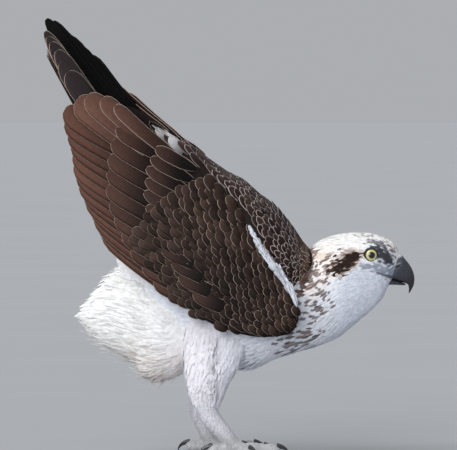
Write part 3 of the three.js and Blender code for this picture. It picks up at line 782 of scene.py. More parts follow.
# One feather laid on the wing's sheet. blunt is the share of it that its round end takes; without
# it, the feather is pointed.
def wingVane(root, tip, width, lift, side, blunt=None, bend=0.0, tilt=0.08, across=7, rootRise=-2.0):
    root, tip = np.array(root, float), np.array(tip, float)
    length = np.hypot(*(tip - root))
    ahead = (tip - root) / length
    lower = np.array([-ahead[1], ahead[0]])
    if blunt:
        shares = vaneShares
        widths = roundWidths(shares, blunt)
    else:
        shares = wispShares
        widths = np.interp(shares, [0, 0.1, 0.3, 0.6, 0.8, 0.94, 1], [0.4, 0.62, 0.9, 1, 0.86, 0.5, 0.1])
    line = arc((root, (root + tip) / 2 - lower * bend * length, tip), shares)
    c = np.linspace(-1, 1, across)
    half = width / 2 * widths[:, None]
    shares = shares[:, None]
    rise = np.interp(shares, [0, 0.3, 1], [rootRise, lift, lift + 0.8])
    x = line[:, :1] + lower[0] * c * half
    z = line[:, 1:] + lower[1] * c * half
    quill = 0.5 * np.exp(-(c / 0.12) ** 2) * (1 - shares)
    up = rise + tilt * c * half + 0.35 * (1 - c * c) + quill
    top = onWing(x, z, up, side)
    low = onWing(x, z, up - 0.55 * np.sqrt(np.maximum(1 - c * c, 0)), side)
    end = onWing(*(line[-1] + ahead * length * 0.002), rise[-1, 0] + 0.2, side)
    return closedVane(top, low, end, c, half, shares, length)


# Rows of large feathers, from the lowest to the uppermost. Roots and tips lie on arcs through three points.
# width and lift run along the row, and edge is how pale its feathers' edges are. Each row's feathers darken
# towards the root, partly their own darker base and partly painted shade under the feathers that overlap
# them.
flightRows = {
    "primaries": {
        "count": 6, "width": (17, 24), "lift": (-4.6, -3.4), "bend": -0.05, "blunt": 0.2, "edge": 0.9,
        "roots": [(-92, 322), (-100, 330), (-108, 338)], "tips": [(-202, 465), (-194, 452), (-176, 422)],
        "shadedRootTone": (0.009, 0.008, 0.010), "tone": (0.026, 0.019, 0.020)},
    "secondaries": {
        "count": 14, "width": (26, 30), "lift": (-0.4, 0), "bend": -0.06, "blunt": 0.16, "edge": 0.95,
        "roots": [(-4, 152), (-64, 232), (-66, 318)], "tips": [(-138, 249), (-166, 300), (-179, 379)],
        "shadedRootTone": (0.026, 0.012, 0.009), "tone": (0.105, 0.048, 0.034)},
    "tertials": {
        "count": 4, "width": (31, 15), "lift": (2.4, 3.0), "bend": -0.05, "blunt": 0.14, "edge": 1.0,
        "roots": [(-64, 318), (-58, 322), (-50, 322)], "tips": [(-166, 391), (-150, 397), (-124, 384)],
        "shadedRootTone": (0.036, 0.018, 0.014), "tone": (0.110, 0.054, 0.039)},
    "greaterCoverts": {
        "count": 11, "width": (23, 22), "lift": (2.2, 3.0), "bend": -0.04, "blunt": 0.22, "edge": 1.0,
        "roots": [(-22, 166), (-84, 232), (-58, 324)], "tips": [(-80, 196), (-156, 280), (-122, 360)],
        "shadedRootTone": (0.008, 0.005, 0.004), "tone": (0.064, 0.031, 0.023)},
    "medianCoverts": {
        "count": 12, "width": (17, 15), "lift": (4.2, 4.6), "bend": -0.03, "blunt": 0.3, "edge": 1.0,
        "roots": [(4, 160), (-56, 246), (-36, 314)], "tips": [(-40, 180), (-116, 276), (-80, 338)],
        "shadedRootTone": (0.006, 0.004, 0.004), "tone": (0.044, 0.023, 0.018)},
}
# Painted shade: the left wing's primaries are seen from beneath and in shadow, so they are drawn nearly black
# and without pale edges.
farPrimaries = {
    "roots": [(-93, 323), (-99, 333), (-99, 343)], "tips": [(-210, 467), (-197, 457), (-167, 425)],
    "edge": 0.0, "shadedRootTone": (0.004, 0.004, 0.005), "tone": (0.005, 0.004, 0.005)}


# How steeply the wing's feathers point up and back, in radians.
def lieAngle(x, z):
    _, down = wingAlongDown(x, z)
    return np.radians(53 - 33 * smooth(down, -10, 95))


lesserCoverts = {
    "rowStep": 8.6,
    "columnStep": 8.0,
    "rear": 168,  # how far along the wing they reach
    "front": -16,
    "columns": (-9, 17),
    "stray": (1.2, 1.4),  # down and along the wing
    "lift": (1.4, 4.4),
    "blunt": 0.42,
    "length": (12, 20),
    "width": (9, 13.5),
    "tone": (0.024, 0.014, 0.011),
    "darkest": (12, 180, 75),  # x, z and how far the dark reaches
    "farBare": (-6, 291, 18),  # none here on the left wing, where they would stand above the back
}


# Small coverts in staggered rows from the wing's front edge to the median coverts.
def lesserVanes(side, look):
    ax, az = wingSheet["axis"]
    wristX, wristZ = wingSheet["wrist"]
    strayDown, strayAlong = look["stray"]
    spots = []
    row = 0
    along = look["rear"]
    while along > look["front"]:
        for k in range(*look["columns"]):
            down = (k + 0.5 * (row % 2)) * look["columnStep"] + rng.uniform(-strayDown, strayDown)
            here = along + rng.uniform(-strayAlong, strayAlong) - 0.004 * (down - 20) ** 2 * (along > 60)
            x, z = wristX + here * ax - down * az, wristZ + here * az + down * ax
            spots.append((x, z, here / look["rear"]))
        along -= look["rowStep"] * (0.75 + 0.35 * max(along, 0) / look["rear"])
        row += 1
    spots = np.array(spots)
    spots = spots[insideOutline(spots[:, 0], spots[:, 1], wingOutline)]
    low, rising = look["lift"]
    bareX, bareZ, bareReach = look["farBare"]
    darkX, darkZ, darkReach = look["darkest"]
    vanes = []
    for x, z, share in spots:
        if side > 0 and math.hypot(x - bareX, z - bareZ) < bareReach:
            continue
        share = float(np.clip(share, 0, 1))
        angle = lieAngle(x, z) + rng.uniform(-0.10, 0.10)
        length = np.interp(share, [0, 1], look["length"]) * rng.uniform(0.88, 1.12)
        width = np.interp(share, [0, 1], look["width"]) * rng.uniform(0.9, 1.1)
        ahead = np.array([-math.cos(angle), math.sin(angle)])
        lift = low + rising * share**1.2 + rng.uniform(-0.3, 0.3)
        root = np.array([x, z])
        vane = wingVane(root - ahead * 2, root + ahead * length, width, lift, side, blunt=look["blunt"],
                        tilt=0.10, across=5, rootRise=lift - 2.2)
        dark = smooth(math.hypot(x - darkX, z - darkZ), darkReach, 15)
        tone = np.array(look["tone"]) * (1.2 - 0.65 * dark) * rng.uniform(0.6, 1.75)
        vanes.append((*vane, tone * 0.5, tone * 1.2, rng.uniform(0.35, 1.0)))
    return vanes


def makeWing(name, side):
    rows = dict(flightRows)
    if side > 0:
        rows["primaries"] = {**rows["primaries"], **farPrimaries}
    vanes = []
    for row in rows.values():
        for t in np.linspace(0, 1, row["count"]):
            wobble = rng.uniform(-1.5, 1.5, 2)
            width, lift = (np.interp(t, [0, 1], row[key]) for key in ("width", "lift"))
            vane = wingVane(arc(row["roots"], t), arc(row["tips"], t) + wobble, width, lift, side,
                            blunt=row["blunt"], bend=row["bend"])
            tint = rng.uniform(0.85, 1.15)
            vanes.append((*vane, np.array(row["shadedRootTone"]) * tint, np.array(row["tone"]) * tint, row["edge"]))
    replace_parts(makeVanes(f"flightFeathers{name}", vanes, side), f"wing_{name.lower()}")
    makeVanes(f"wingCoverts{name}", lesserVanes(side, lesserCoverts), side)


# One mesh from many vanes, each with its own cell of the bake map.
def makeVanes(name, vanes, side, paint=featherPaint):
    rings, ends, rims, owns = (np.stack([v[k] for v in vanes]) for k in range(4))
    lengths, edges = (np.array([v[k] for v in vanes], float) for k in (4, 7))
    shadedRootTone, tipTone = (np.stack([v[k] for v in vanes]) for k in (5, 6))
    n, a, r = rings.shape[:3]
    share = owns[..., 1] / lengths[:, None, None]
    c = owns[..., 0] / np.maximum(np.abs(owns[..., 0]).max((1, 2)), 0.1)[:, None, None]
    # Each vane darkens towards its root: partly its own darker base, partly painted shade where the feather
    # over it overlaps. It also grows lighter across its width, from one edge to the other.
    tone = blend(shadedRootTone[:, None, None], tipTone[:, None, None], smooth(share, 0.3, 0.95))
    tone = tone * (1 + 0.22 * c)[..., None]
    under = np.zeros((1, 1, r))
    under[:, :, (r + 2) // 2:] = 1
    # Painted shade: the vanes' undersides drawn nearly black, as they lie in shadow.
    if side:
        tone = blend(tone, wingUndersideShade, under)
    cells = math.ceil(math.sqrt(n))
    cell = np.stack([np.arange(n) % cells, np.arange(n) // cells], -1) / cells
    u = (0.25 + 0.2 * c) + 0.5 * under
    bake = cell[:, None, None] + np.stack([u, 0.05 + 0.9 * share], -1) / cells
    bakeTip = cell + np.array([0.25, 0.96]) / cells
    onTips = np.stack([np.zeros(n), lengths], -1)
    return ringMesh(name, rings, ends, (tone, tipTone), rims, edges, (owns, onTips), (bake, bakeTip),
                    paint)


# Skin: one mesh under all the plumage

skinTiles = ["body", "mantle", "vent", "thighRight", "thighLeft", "wingRight", "wingLeft"]
tileSize = (0.24, 0.485)


def tileCorner(surface):
    i = skinTiles.index(surface)
    return 0.25 * (i % 4) + 0.005, 0.5 * (i // 4) + 0.005


# The place on the bake map of (u, v) on one of the skin's surfaces.
def bakePlace(surface, u, v):
    return np.array(tileCorner(surface)) + np.stack([u % 1, v], -1) * np.array(tileSize)


# The flesh of a wing under its feathers, as a surface of (u, v).
def wingCore(side):
    def at(u, v):
        outer = u % 1 < 0.5
        t = np.where(outer, u % 1 * 2, 2 - u % 1 * 2)
        lowX, lowZ, upX, upZ, thick = through(wingCoreRows, v).T
        edge = np.clip(np.maximum(1 - t / 0.14, 1 - (1 - t) / 0.14), 0, 1)
        deep = np.where(outer, 1.5 + 0.35 * thick * edge**2, thick * (1 - 0.5 * edge**2))
        return onWing(lowX + (upX - lowX) * t, lowZ + (upZ - lowZ) * t, -deep, side)
    return at


skinLook = {"round": 96, "along": 146}


def makeSkin(look):
    surfaces = {
        "body": (body.at, bodyColor),
        "mantle": (mantle.at, plain(darkPlume)),
        "vent": (vent.at, ventColor),
        **{"thigh" + name: (thighs[name].at, thighColor) for name in sides},
        **{"wing" + name: (wingCore(side), plain(darkPlume)) for name, side in sides.items()},
    }
    parts = [gridPiece(name, surface, look["round"], look["along"], color, tile=(tileCorner(name), tileSize))
             for name, (surface, color) in surfaces.items()]
    skin = dress(joined("skin", parts), coatPaint)
    skin.data.uv_layers.new(name="vane")
    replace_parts(skin, "head", "neck", "torso", "mantle", "undertail_coverts", "thigh_right", "thigh_left")


makeSkin(skinLook)
print("skin made")


# Coat of the head, neck and underparts

mantleOutline = mantleBorder + [(-110, 372), (110, 372), (110, 168)]


# Whether each point lies under a wing, at least margin inside its outline.
def hiddenUnderWing(p, margin=9):
    x, z = p[:, 0], p[:, 2]
    inside = insideOutline(x, z, wingOutline)
    for dx, dz in ((margin, 0), (-margin, 0), (0, margin), (0, -margin)):
        inside &= insideOutline(x + dx, z + dz, wingOutline)
    return inside & (np.abs(p[:, 1]) > 30)


eyeLook = {
    "place": (155.2, 16.5, 219.5),
    "turn": 12,  # degrees that the eye looks forward of straight out
    "ball": 9.4,
    "iris": 6.3,
}


# An eye's middle, and its ways out, ahead and up.
def eyeAxes(side):
    turn = math.radians(eyeLook["turn"])
    x, out, z = eyeLook["place"]
    axis = np.array([math.sin(turn), side * math.cos(turn), 0])
    ahead = np.array([math.cos(turn), -side * math.sin(turn), 0])
    return np.array([x, side * out, z]), axis, ahead, np.array([0, 0, 1.0])


# How far each point lies from the axis of the eye on its side.
def fromEyeAxis(p):
    best = np.full(len(p), 99.0)
    for side in (-1, 1):
        centre, axis, _, _ = eyeAxes(side)
        far = np.linalg.norm(np.cross(p - centre, axis), axis=1)
        best = np.where(side * p[:, 1] > 6, np.minimum(best, far), best)
    return best


bodyLook = {
    "size": ([0, 0.1, 0.28, 0.4, 0.55, 0.75, 1], [1.2, 1.45, 2.2, 3.2, 4.8, 6.4, 6.0]),  # from bill to tail
    "length": ([0, 0.2, 0.4, 0.6, 1], [2.6, 3.2, 3.4, 3.4, 3.8]),  # in sizes, as is the width
    "width": ([0, 0.3, 0.6, 1], [1.15, 1.15, 1.3, 1.4]),
    "lift": ([0, 0.1, 0.3, 0.5, 1], [0.17, 0.2, 0.23, 0.2, 0.15]),
    "curl": ([0, 0.1, 0.3, 0.5, 1], [0.24, 0.26, 0.28, 0.25, 0.2]),
    "sink": ([0, 0.3, 1], [0.12, 0.2, 0.9]),
    "eyeRoom": (7.3, 6.9),  # how far roots and tips stay from the eye's axis
    "streaks": [
        # stroke of (x, z, half thickness), chance of a streak, its strength
        ([(116, 214, 10), (108, 203, 16), (101, 190, 15)], 0.36, 0.95),
        ([(99, 224, 8), (96, 208, 10), (93, 190, 10)], 0.6, 0.95),
        ([(98, 178, 14), (92, 158, 23), (86, 138, 25), (80, 122, 20)], 0.36, 1.0),
        ([(116, 176, 9), (108, 158, 13), (98, 138, 16)], 0.2, 0.95),
        ([(182, 226, 7), (172, 233, 8), (158, 239, 5), (146, 241, 3)], 0.3, 0.7),
    ],
}


def coverBody(look):
    def size(v):
        return np.interp(v, *look["size"])

    u, v = roots(body, 0.004, 0.97, size, lambda v: size(v) * 0.86)
    here, out, back = body.frame(u, v)
    rootRoom, tipRoom = look["eyeRoom"]
    keep = ~hiddenUnderWing(here) & ~((here[:, 2] > 250 - 0.3 * here[:, 0]) & (v > 0.52))
    keep &= fromEyeAxis(here) > rootRoom
    keep &= fromEyeAxis(here + back * (size(v) * 2.2)[:, None]) > tipRoom
    u, v, here, out, back = only(keep, u, v, here, out, back)
    n = len(u)
    length = size(v) * np.interp(v, *look["length"]) * rng.uniform(0.85, 1.15, n)
    width = size(v) * np.interp(v, *look["width"]) * rng.uniform(0.85, 1.15, n)
    across = unit(np.cross(out, back))
    back = unit(back + across * rng.normal(0, 0.07, n)[:, None])
    color = bodyColor(here + back * (length * 0.5)[:, None])
    color = color * (1 + rng.normal(0, 0.025, n))[:, None]
    spot = np.zeros(n)
    for stroke, chance, strength in look["streaks"]:
        near = smooth(strokeMask(here[:, 0], here[:, 2], stroke), 0.0, 0.4)
        spot = np.maximum(spot, (rng.uniform(0, 1, n) < chance * near) * strength * rng.uniform(0.75, 1, n))
    spotTone = np.array(darkPlume) * rng.uniform(1.0, 2.0, (n, 1))
    spotTone = spotTone + np.array(rustPlume) * rng.uniform(0.1, 0.9, (n, 1))
    tip = np.clip(blend(color * 1.02, spotTone, spot * 0.75), 0, 0.9)
    place = bakePlace("body", u, v)
    lift, curl, sink = (np.interp(v, *look[key]) for key in ("lift", "curl", "sink"))
    for name, k in zip(("headCoat", "neckCoat", "bellyCoat"), np.array_split(np.argsort(v), 3)):
        growFeathers(name, here[k], out[k], back[k], length[k], width[k], color[k], tip[k], place[k], "leaf",
                     lift[k], curl[k], sink[k][:, None], spot=spot[k], spotColor=spotTone[k])


coverBody(bodyLook)
print("body coat made")


# Mantle and scapulars

mantleLook = {
    "size": ([0, 0.2, 0.4, 0.7, 1], [4.8, 7.2, 9.8, 11.5, 12.0]),  # from the neck to the tail
    "length": (2.1, 2.6),  # in sizes, as is the width
    "width": (1.1, 1.35),
    "tone": (0.024, 0.014, 0.012),
    "barredFrom": 0.8,
    "barTone": (0.55, 0.55, 0.57),
}


def coverMantle(look):
    def size(v):
        return np.interp(v, *look["size"])

    u, v = roots(mantle, 0.0, 0.96, lambda v: size(v) * 0.86, lambda v: size(v) * 0.9)
    here, out, back = mantle.frame(u, v)
    keep = insideOutline(here[:, 0], here[:, 2], mantleOutline)
    u, v, here, out, back = only(keep, u, v, here, out, back)
    n = len(u)
    length = size(v) * rng.uniform(*look["length"], n)
    width = size(v) * rng.uniform(*look["width"], n)
    tone = np.array(look["tone"]) * rng.uniform(0.6, 1.6, (n, 1))
    tone = blend(tone, np.array(rustPlume) * rng.uniform(0.2, 0.8, (n, 1)), 1 - smooth(v, 0.02, 0.14))
    edge = np.where(rng.uniform(0, 1, n) < 0.6, 1.0, 0.5)
    tip = tone * 1.3
    tip[(v > look["barredFrom"]) & (rng.uniform(0, 1, n) < 0.45)] = look["barTone"]
    # Each feather drawn darker at the root and lighter at the tip: partly its own darker base, partly painted
    # shade under the feather above it.
    growFeathers("mantleFeathers", here, out, back, length, width, tone * 0.5, tip,
                 bakePlace("mantle", u, v), "round", lift=0.26, curl=0.34, sink=1.2, cup=0.2, thick=0.4,
                 edge=edge, paint=mantlePaint)


coverMantle(mantleLook)
for wingName, wingSide in sides.items():
    makeWing(wingName, wingSide)
print("wings made")


# White stripe between the scapulars and the wing

whiteStripe = {
    "path": [(75, 164), (71, 176), (61.5, 193), (48.5, 210), (38, 225), (31, 237), (25, 248)],
    "count": 420,
    "halfWidth": 3.4,
    "length": (9, 16),
    "width": (1.4, 2.5),
    "lift": (4.0, 6.0),
    "shade": (0.42, 0.9),
}


def makeStripe(look):
    vanes = []
    for side in (-1, 1):
        t = rng.uniform(0, 1, look["count"])
        p = through(look["path"], t)
        ahead = unit(through(look["path"], np.minimum(t + 0.03, 1)) - through(look["path"], t - 0.03))
        for (x, z), (ax, az), along in zip(p, ahead, t):
            spread = 0.12 + 0.88 * math.sin(math.pi * along**0.7)
            shift = rng.uniform(-1, 1) * look["halfWidth"] * spread
            x, z = x - az * shift, z + ax * shift
            length = rng.uniform(*look["length"]) * (1 - 0.5 * along)
            lift = rng.uniform(*look["lift"])
            stray = rng.normal(0, 0.1)
            ax, az = ax - az * stray, az + ax * stray
            width = rng.uniform(*look["width"])
            vane = wingVane((x, z), (x + ax * length, z + az * length), width, lift, side,
                            tilt=rng.uniform(-0.3, 0.4), across=5, rootRise=lift - 2.5)
            # Painted shade: the stripe's white drawn greyer and bluer, at random strengths.
            tone = np.array(shadeWhite) * rng.uniform(*look["shade"])
            vanes.append((*vane, tone, tone, 0.0))
    makeVanes("whiteStripe", vanes, 0, coatPaint)


makeStripe(whiteStripe)


# Tail

tailLook = {
    "root": (-100, 261),
    "tip": (-200.8, 446.6),
    "vanes": 12,
    "halfFan": 3.6,  # degrees
    "width": 26,
    "length": 211,
    "outerShorter": 0.035,  # share of the length
    "height": 2.2,  # of the middle feathers over the tail's line
    "blunt": 0.1,
    "shadedRootTone": (0.10, 0.066, 0.055),
    "tone": (0.13, 0.085, 0.07),
}


def makeTail(look):
    root, tip = np.array(look["root"], float), np.array(look["tip"], float)
    along = (tip - root) / np.hypot(*(tip - root))
    c = np.linspace(-1, 1, 7)
    half = look["width"] / 2 * roundWidths(vaneShares, look["blunt"])[:, None]
    shares = vaneShares[:, None]
    vanes = []
    for i in range(look["vanes"]):
        place = i - (look["vanes"] - 1) / 2
        side = np.sign(place)
        rank = abs(place) - 0.5
        share = (rank + 0.5) / (look["vanes"] / 2)
        angle = math.radians(look["halfFan"]) * side * share
        length = look["length"] * (1 - look["outerShorter"] * share**2) + rng.uniform(-1.5, 1.5)
        height = look["height"] - rank + (0.5 if side > 0 else 0)

        def on(run, across, rise):
            x = root[0] + along[0] * run * math.cos(angle) + along[1] * rise
            z = root[1] + along[1] * run * math.cos(angle) - along[0] * rise
            y = side * rank + across + run * math.sin(angle)
            return np.stack(np.broadcast_arrays(x, y, z), -1)

        droop = height - side * c * half * 0.03
        top = on(shares * length, c * half, droop + 0.3 * (1 - c * c))
        low = on(shares * length, c * half, droop - 0.25 * (1 - c * c))
        vane = closedVane(top, low, on(length, 0.0, height), c, half, shares, length)
        vanes.append((*vane, np.array(look["shadedRootTone"]), np.array(look["tone"]), 1.0))
    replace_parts(makeVanes("tailFeathers", vanes, 0), "tail")


makeTail(tailLook)
print("tail made")


# Vent, undertail and trouser plumage

# The way out, square to the way a tuft lies.
def squareTo(aim, out):
    return unit(out - aim * np.sum(out * aim, -1, keepdims=True) + 1e-6)


# Three smooth random values at each point, which bend neighbouring tufts the same way.
def clumps(p, size, salt):
    return np.stack([ripple(p, size, salt + k) for k in range(3)], -1)


ventLook = {
    "rowStep": 3.0,
    "columnStep": 2.6,
    "length": (14, 24),
    "width": (4.0, 6.5),
    "drift": (-0.35, 0, 0.03),  # turns the tufts back and up
}


def coverVent(look):
    u, v = roots(vent, 0.0, 1.0, look["rowStep"], look["columnStep"], 0.5)
    here, out, back = vent.frame(u, v)
    keep = ~hiddenUnderWing(here, 16)
    u, v, here, out, back = only(keep, u, v, here, out, back)
    n = len(u)
    aim = unit(back + np.array(look["drift"]) + 0.10 * clumps(here, 16, 20) + rng.normal(0, 0.05, (n, 3)))
    length = rng.uniform(*look["length"], n) * np.where(np.cos(2 * math.pi * u) > 0.7, 0.8, 1)
    width = rng.uniform(*look["width"], n)
    tone = ventColor(here) * rng.uniform(0.96, 1.03, (n, 1))
    tip = np.clip(tone * 1.02, 0, 0.9)
    growFeathers("ventTufts", here, squareTo(aim, out), aim, length, width, tone, tip,
                 bakePlace("vent", u, v), "wisp",
                 lift=0.07 + 0.26 * smooth(v, 0.55, 0.95) * rng.uniform(0.3, 1, n),
                 curl=0.10 + 0.05 * rng.uniform(-1, 1, n), sink=0.9, paint=downPaint)


outerWisps = {
    "rowStep": 6.5,
    "columnStep": 4.2,
    "length": (19, 29),
    "width": (2.0, 3.6),
    "stand": (0.15, 0.5),  # radians that they rise off the plume
    "drift": (-0.3, 0, 0.05),
    "hang": (-0.7, 0, -0.25),  # the way of the ones that hang under the vent
}


def coverVentOutline(look):
    u, v = roots(vent, 0.0, 1.0, look["rowStep"], look["columnStep"], 0.6)
    here, out, back = vent.frame(u, v)
    up = np.cos(2 * math.pi * u)
    hanging = smooth(-up, 0.3, 0.75) * (1 - smooth(v, 0.22, 0.36))
    keep = (up < 0.75) & ((v > 0.25) | (hanging > 0.3))
    u, v, here, out, back, hanging = only(keep, u, v, here, out, back, hanging)
    n = len(u)
    lie = blend(back + np.array(look["drift"]), look["hang"], hanging)
    aim = unit(lie + 0.16 * clumps(here, 13, 50) + rng.normal(0, 0.08, (n, 3)))
    tone = ventColor(here) * rng.uniform(0.97, 1.03, (n, 1))
    low = smooth(-here[:, 2], -130, -90) * (1 - hanging)
    length = rng.uniform(*look["length"], n) * (1 - 0.45 * hanging)
    width = rng.uniform(*look["width"], n) * (1 + 0.6 * hanging)
    tip = np.clip(tone * 1.02, 0, 0.9)
    growFeathers("ventWisps", here, squareTo(aim, out), aim, length, width, tone, tip,
                 bakePlace("vent", u, v), "wisp", lift=rng.uniform(*look["stand"], n) + 0.12 * low,
                 curl=0.3 + 0.25 * rng.uniform(-1, 1, n), sink=2.0, thick=0.3, paint=downPaint)


thighLook = {
    "rowStep": 2.8,
    "columnStep": 2.6,
    "length": (10, 15),
    "width": (3.6, 5.2),
    "ruffle": [(-16, 134, 7), (-14, 112, 7), (-16, 92, 6), (-14, 72, 5)],
}


def coverThighs(look):
    for name, loft in thighs.items():
        u, v = roots(loft, 0.05, 1.0, look["rowStep"], look["columnStep"], 0.4)
        here, out, back = loft.frame(u, v)
        n = len(u)
        ruffle = smooth(strokeMask(here[:, 0], here[:, 2], look["ruffle"]), 0.1, 0.7)
        length = rng.uniform(*look["length"], n) * np.interp(v, [0, 0.8, 1], [1.2, 1, 0.6])
        width = rng.uniform(*look["width"], n) * np.interp(v, [0, 0.8, 1], [1.2, 1, 0.8]) * (1 - 0.3 * ruffle)
        tone = thighColor(here) * (1 - ruffle * rng.uniform(0, 0.35, n))[:, None]
        back = unit(back + rng.normal(0, 0.05, (n, 3)) * (1 + 2 * ruffle[:, None]))
        growFeathers(f"thighCoat{name}", here, out, back, length, width, tone, tone,
                     bakePlace("thigh" + name, u, v), "leaf",
                     lift=0.06 + 0.2 * ruffle, curl=0.10, sink=0.6, cup=0.08, thick=0.24)


coverVent(ventLook)
coverVentOutline(outerWisps)
coverThighs(thighLook)
print("white plumage made")


# Eyes and lids

irisTones = [
    # mm from the middle of the pupil, colour
    (0, (0.004, 0.004, 0.004)), (3.0, (0.004, 0.004, 0.004)), (3.4, (0.12, 0.11, 0.03)),
    (3.9, (0.50, 0.48, 0.20)), (5.0, (0.66, 0.62, 0.30)), (5.7, (0.55, 0.52, 0.22)),
    (6.15, (0.30, 0.28, 0.12)), (6.5, (0.02, 0.02, 0.02)), (20, (0.01, 0.01, 0.01)),
]
lidRows = [
    # mm from the eye's axis, mm out from the eye's middle
    (6.3, 6.4), (6.35, 7.1), (6.7, 7.6), (7.1, 7.3), (7.4, 6.6),
    (7.8, 5.6), (8.2, 4.6), (8.0, 3.4), (7.2, 4.2), (6.3, 6.4),
]
lidTones = [
    # mm from the eye's axis, colour
    (6.9, (0.004, 0.004, 0.005)), (7.9, (0.010, 0.010, 0.012)), (8.6, (0.05, 0.05, 0.06)),
]


def makeEye(name, side):
    centre, axis, ahead, up = eyeAxes(side)

    def around(turn, far):
        return ahead * (np.cos(turn) * far)[:, None] + up * (np.sin(turn) * far)[:, None]

    # Rings run from the pupil to the back; the cornea bulges a little.
    def ball(u, v):
        theta = math.pi * v**1.4
        far = eyeLook["ball"] * np.sin(theta)
        bulge = 0.45 * np.clip(1 - (far / eyeLook["iris"]) ** 2, 0, 1) * (theta < 1.5)
        radius = eyeLook["ball"] + bulge
        ring = centre + axis * (radius * np.cos(theta))[:, None]
        return ring + around(2 * math.pi * u, radius * np.sin(theta))

    def irisColor(p, u, v):
        back = irisTones[-1][0]
        far = np.where(v**1.4 > 0.5, back, eyeLook["ball"] * np.sin(math.pi * v**1.4))
        fibre = 1 + 0.16 * np.sin(2 * math.pi * u * 37 + 2 * np.sin(2 * math.pi * u * 5)) * (far > 3.5)
        return ramp(irisTones, far) * fibre[:, None]

    def lids(u, v):
        far, out = through(lidRows, v).T
        turn = 2 * math.pi * u
        corner = 1 + 0.14 * np.abs(np.cos(turn)) ** 5
        flatter = np.where(np.sin(turn) > 0, 0.95, 1.0)
        droop = -0.6 * np.cos(turn) ** 5
        return (centre + axis * out[:, None] + ahead * (np.cos(turn) * corner * far)[:, None]
                + up * (np.sin(turn) * flatter * far + droop)[:, None])

    def lidColor(p, u, v):
        rim = np.linalg.norm(np.cross(p - centre, axis), axis=1)
        return ramp(lidTones, rim) * (1 + 0.2 * ripple(p, 2.0, 31))[:, None]

    eye = surfacePiece(f"eye{name}", ball, 72, 110, eyePaint, irisColor)
    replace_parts(eye, f"eye_{name.lower()}")
    surfacePiece(f"lids{name}", lids, 72, 36, lidPaint, lidColor, closeEnds=False)


for eyeName, eyeSide in sides.items():
    makeEye(eyeName, eyeSide)


# Bill

upperBill = Loft([
    (181.5, 223, 167, 196, 10.5, -0.1),
    (189.5, 219.5, 176.5, 193.2, 9, -0.1),
    (194.7, 214, 182.6, 190.9, 7.8, -0.1),
    (199.1, 208.5, 188.7, 189.2, 6.4, -0.1),
    (202.7, 201.9, 194.2, 188.1, 5, 0),
    (204.6, 194.2, 197.2, 186.5, 3.6, 0),
    (203.8, 185.9, 198.4, 182.6, 2.3, 0),
    (199.6, 177.6, 198.2, 176.6, 0.8, 0),
])
lowerBill = Loft([
    (164, 194, 163, 186, 8.6, 0),
    (175, 192.6, 173.5, 186, 7.2, 0),
    (184, 190.9, 183.5, 185.9, 5.8, 0),
    (190, 189, 190, 185.6, 4.1, 0),
    (194.8, 187.4, 194.8, 185.7, 1.7, 0),
])
billLook = {
    "nostril": (186.0, 206.6),
    "nostrilSize": (3.8, 1.15),
    "nostrilTilt": 24,  # degrees
    "nostrilDepth": 1.4,
    "cereEnd": 0.27,  # share of the bill's rows
    "upperTones": [(0, (0.042, 0.045, 0.060)), (0.3, (0.034, 0.037, 0.050)), (0.5, (0.026, 0.028, 0.038)),
                   (0.72, (0.013, 0.014, 0.018)), (1, (0.004, 0.004, 0.005))],
    "lowerTones": [(0, (0.045, 0.048, 0.062)), (1, (0.010, 0.010, 0.012))],
    "cereTones": [(0, (0.12, 0.13, 0.165)), (0.6, (0.075, 0.082, 0.105)), (1, (0.042, 0.045, 0.060))],
    "nostrilHighlight": (0.34, 0.36, 0.42),
}


def nostrilMask(p, above=0.0):
    x, z = p[:, 0] - billLook["nostril"][0], p[:, 2] - billLook["nostril"][1] - above
    tilt = math.radians(billLook["nostrilTilt"])
    a, b = x * math.cos(tilt) + z * math.sin(tilt), z * math.cos(tilt) - x * math.sin(tilt)
    return np.exp(-((a / billLook["nostrilSize"][0]) ** 4) - (b / billLook["nostrilSize"][1]) ** 2)


def dented(p):
    p[:, 1] -= np.sign(p[:, 1]) * billLook["nostrilDepth"] * nostrilMask(p) * (np.abs(p[:, 1]) > 3)
    return p


# Painted shade in the nostril's slit, under a painted highlight along its upper edge.
def aroundNostril(tone, p):
    tone = blend(tone, billLook["nostrilHighlight"], 0.8 * nostrilMask(p, 2.2))
    return tone * (1 - 0.97 * nostrilMask(p))[:, None]


def upperSurface(u, v):
    return dented(upperBill.at(u, v))


def upperColor(p, u, v):
    lower = smooth(-np.cos(2 * math.pi * u), 0.6, 1.0)[:, None]
    return aroundNostril(ramp(billLook["upperTones"], v) * (1 - 0.6 * lower), p)


def cereSurface(u, v):
    grow = 0.45 * np.sqrt(np.clip(1 - v**6, 0, 1)) - 0.25
    return dented(upperBill.at(u, v * billLook["cereEnd"], grow))


def cereColor(p, u, v):
    return aroundNostril(ramp(billLook["cereTones"], v) * (1 + 0.18 * ripple(p, 3, 33))[:, None], p)


upper = surfacePiece("billUpper", upperSurface, 96, 150, hornPaint, upperColor)
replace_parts(upper, "bill_upper")
cere = surfacePiece("cere", cereSurface, 96, 70, cerePaint, cereColor)
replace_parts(cere, "cere")
lowerColor = lengthwise(billLook["lowerTones"])
lower = surfacePiece("billLower", lowerBill.at, 64, 60, hornPaint, lowerColor)
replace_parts(lower, "bill_lower")


# Short plumage of the forehead and lores, which runs out over the bill's base

frontLook = {
    "reach": 0.2,  # share of the bill's rows
    "rowStep": 1.2,
    "columnStep": 1.0,
    "length": (4.2, 6.2),
    "width": (1.2, 1.8),
}


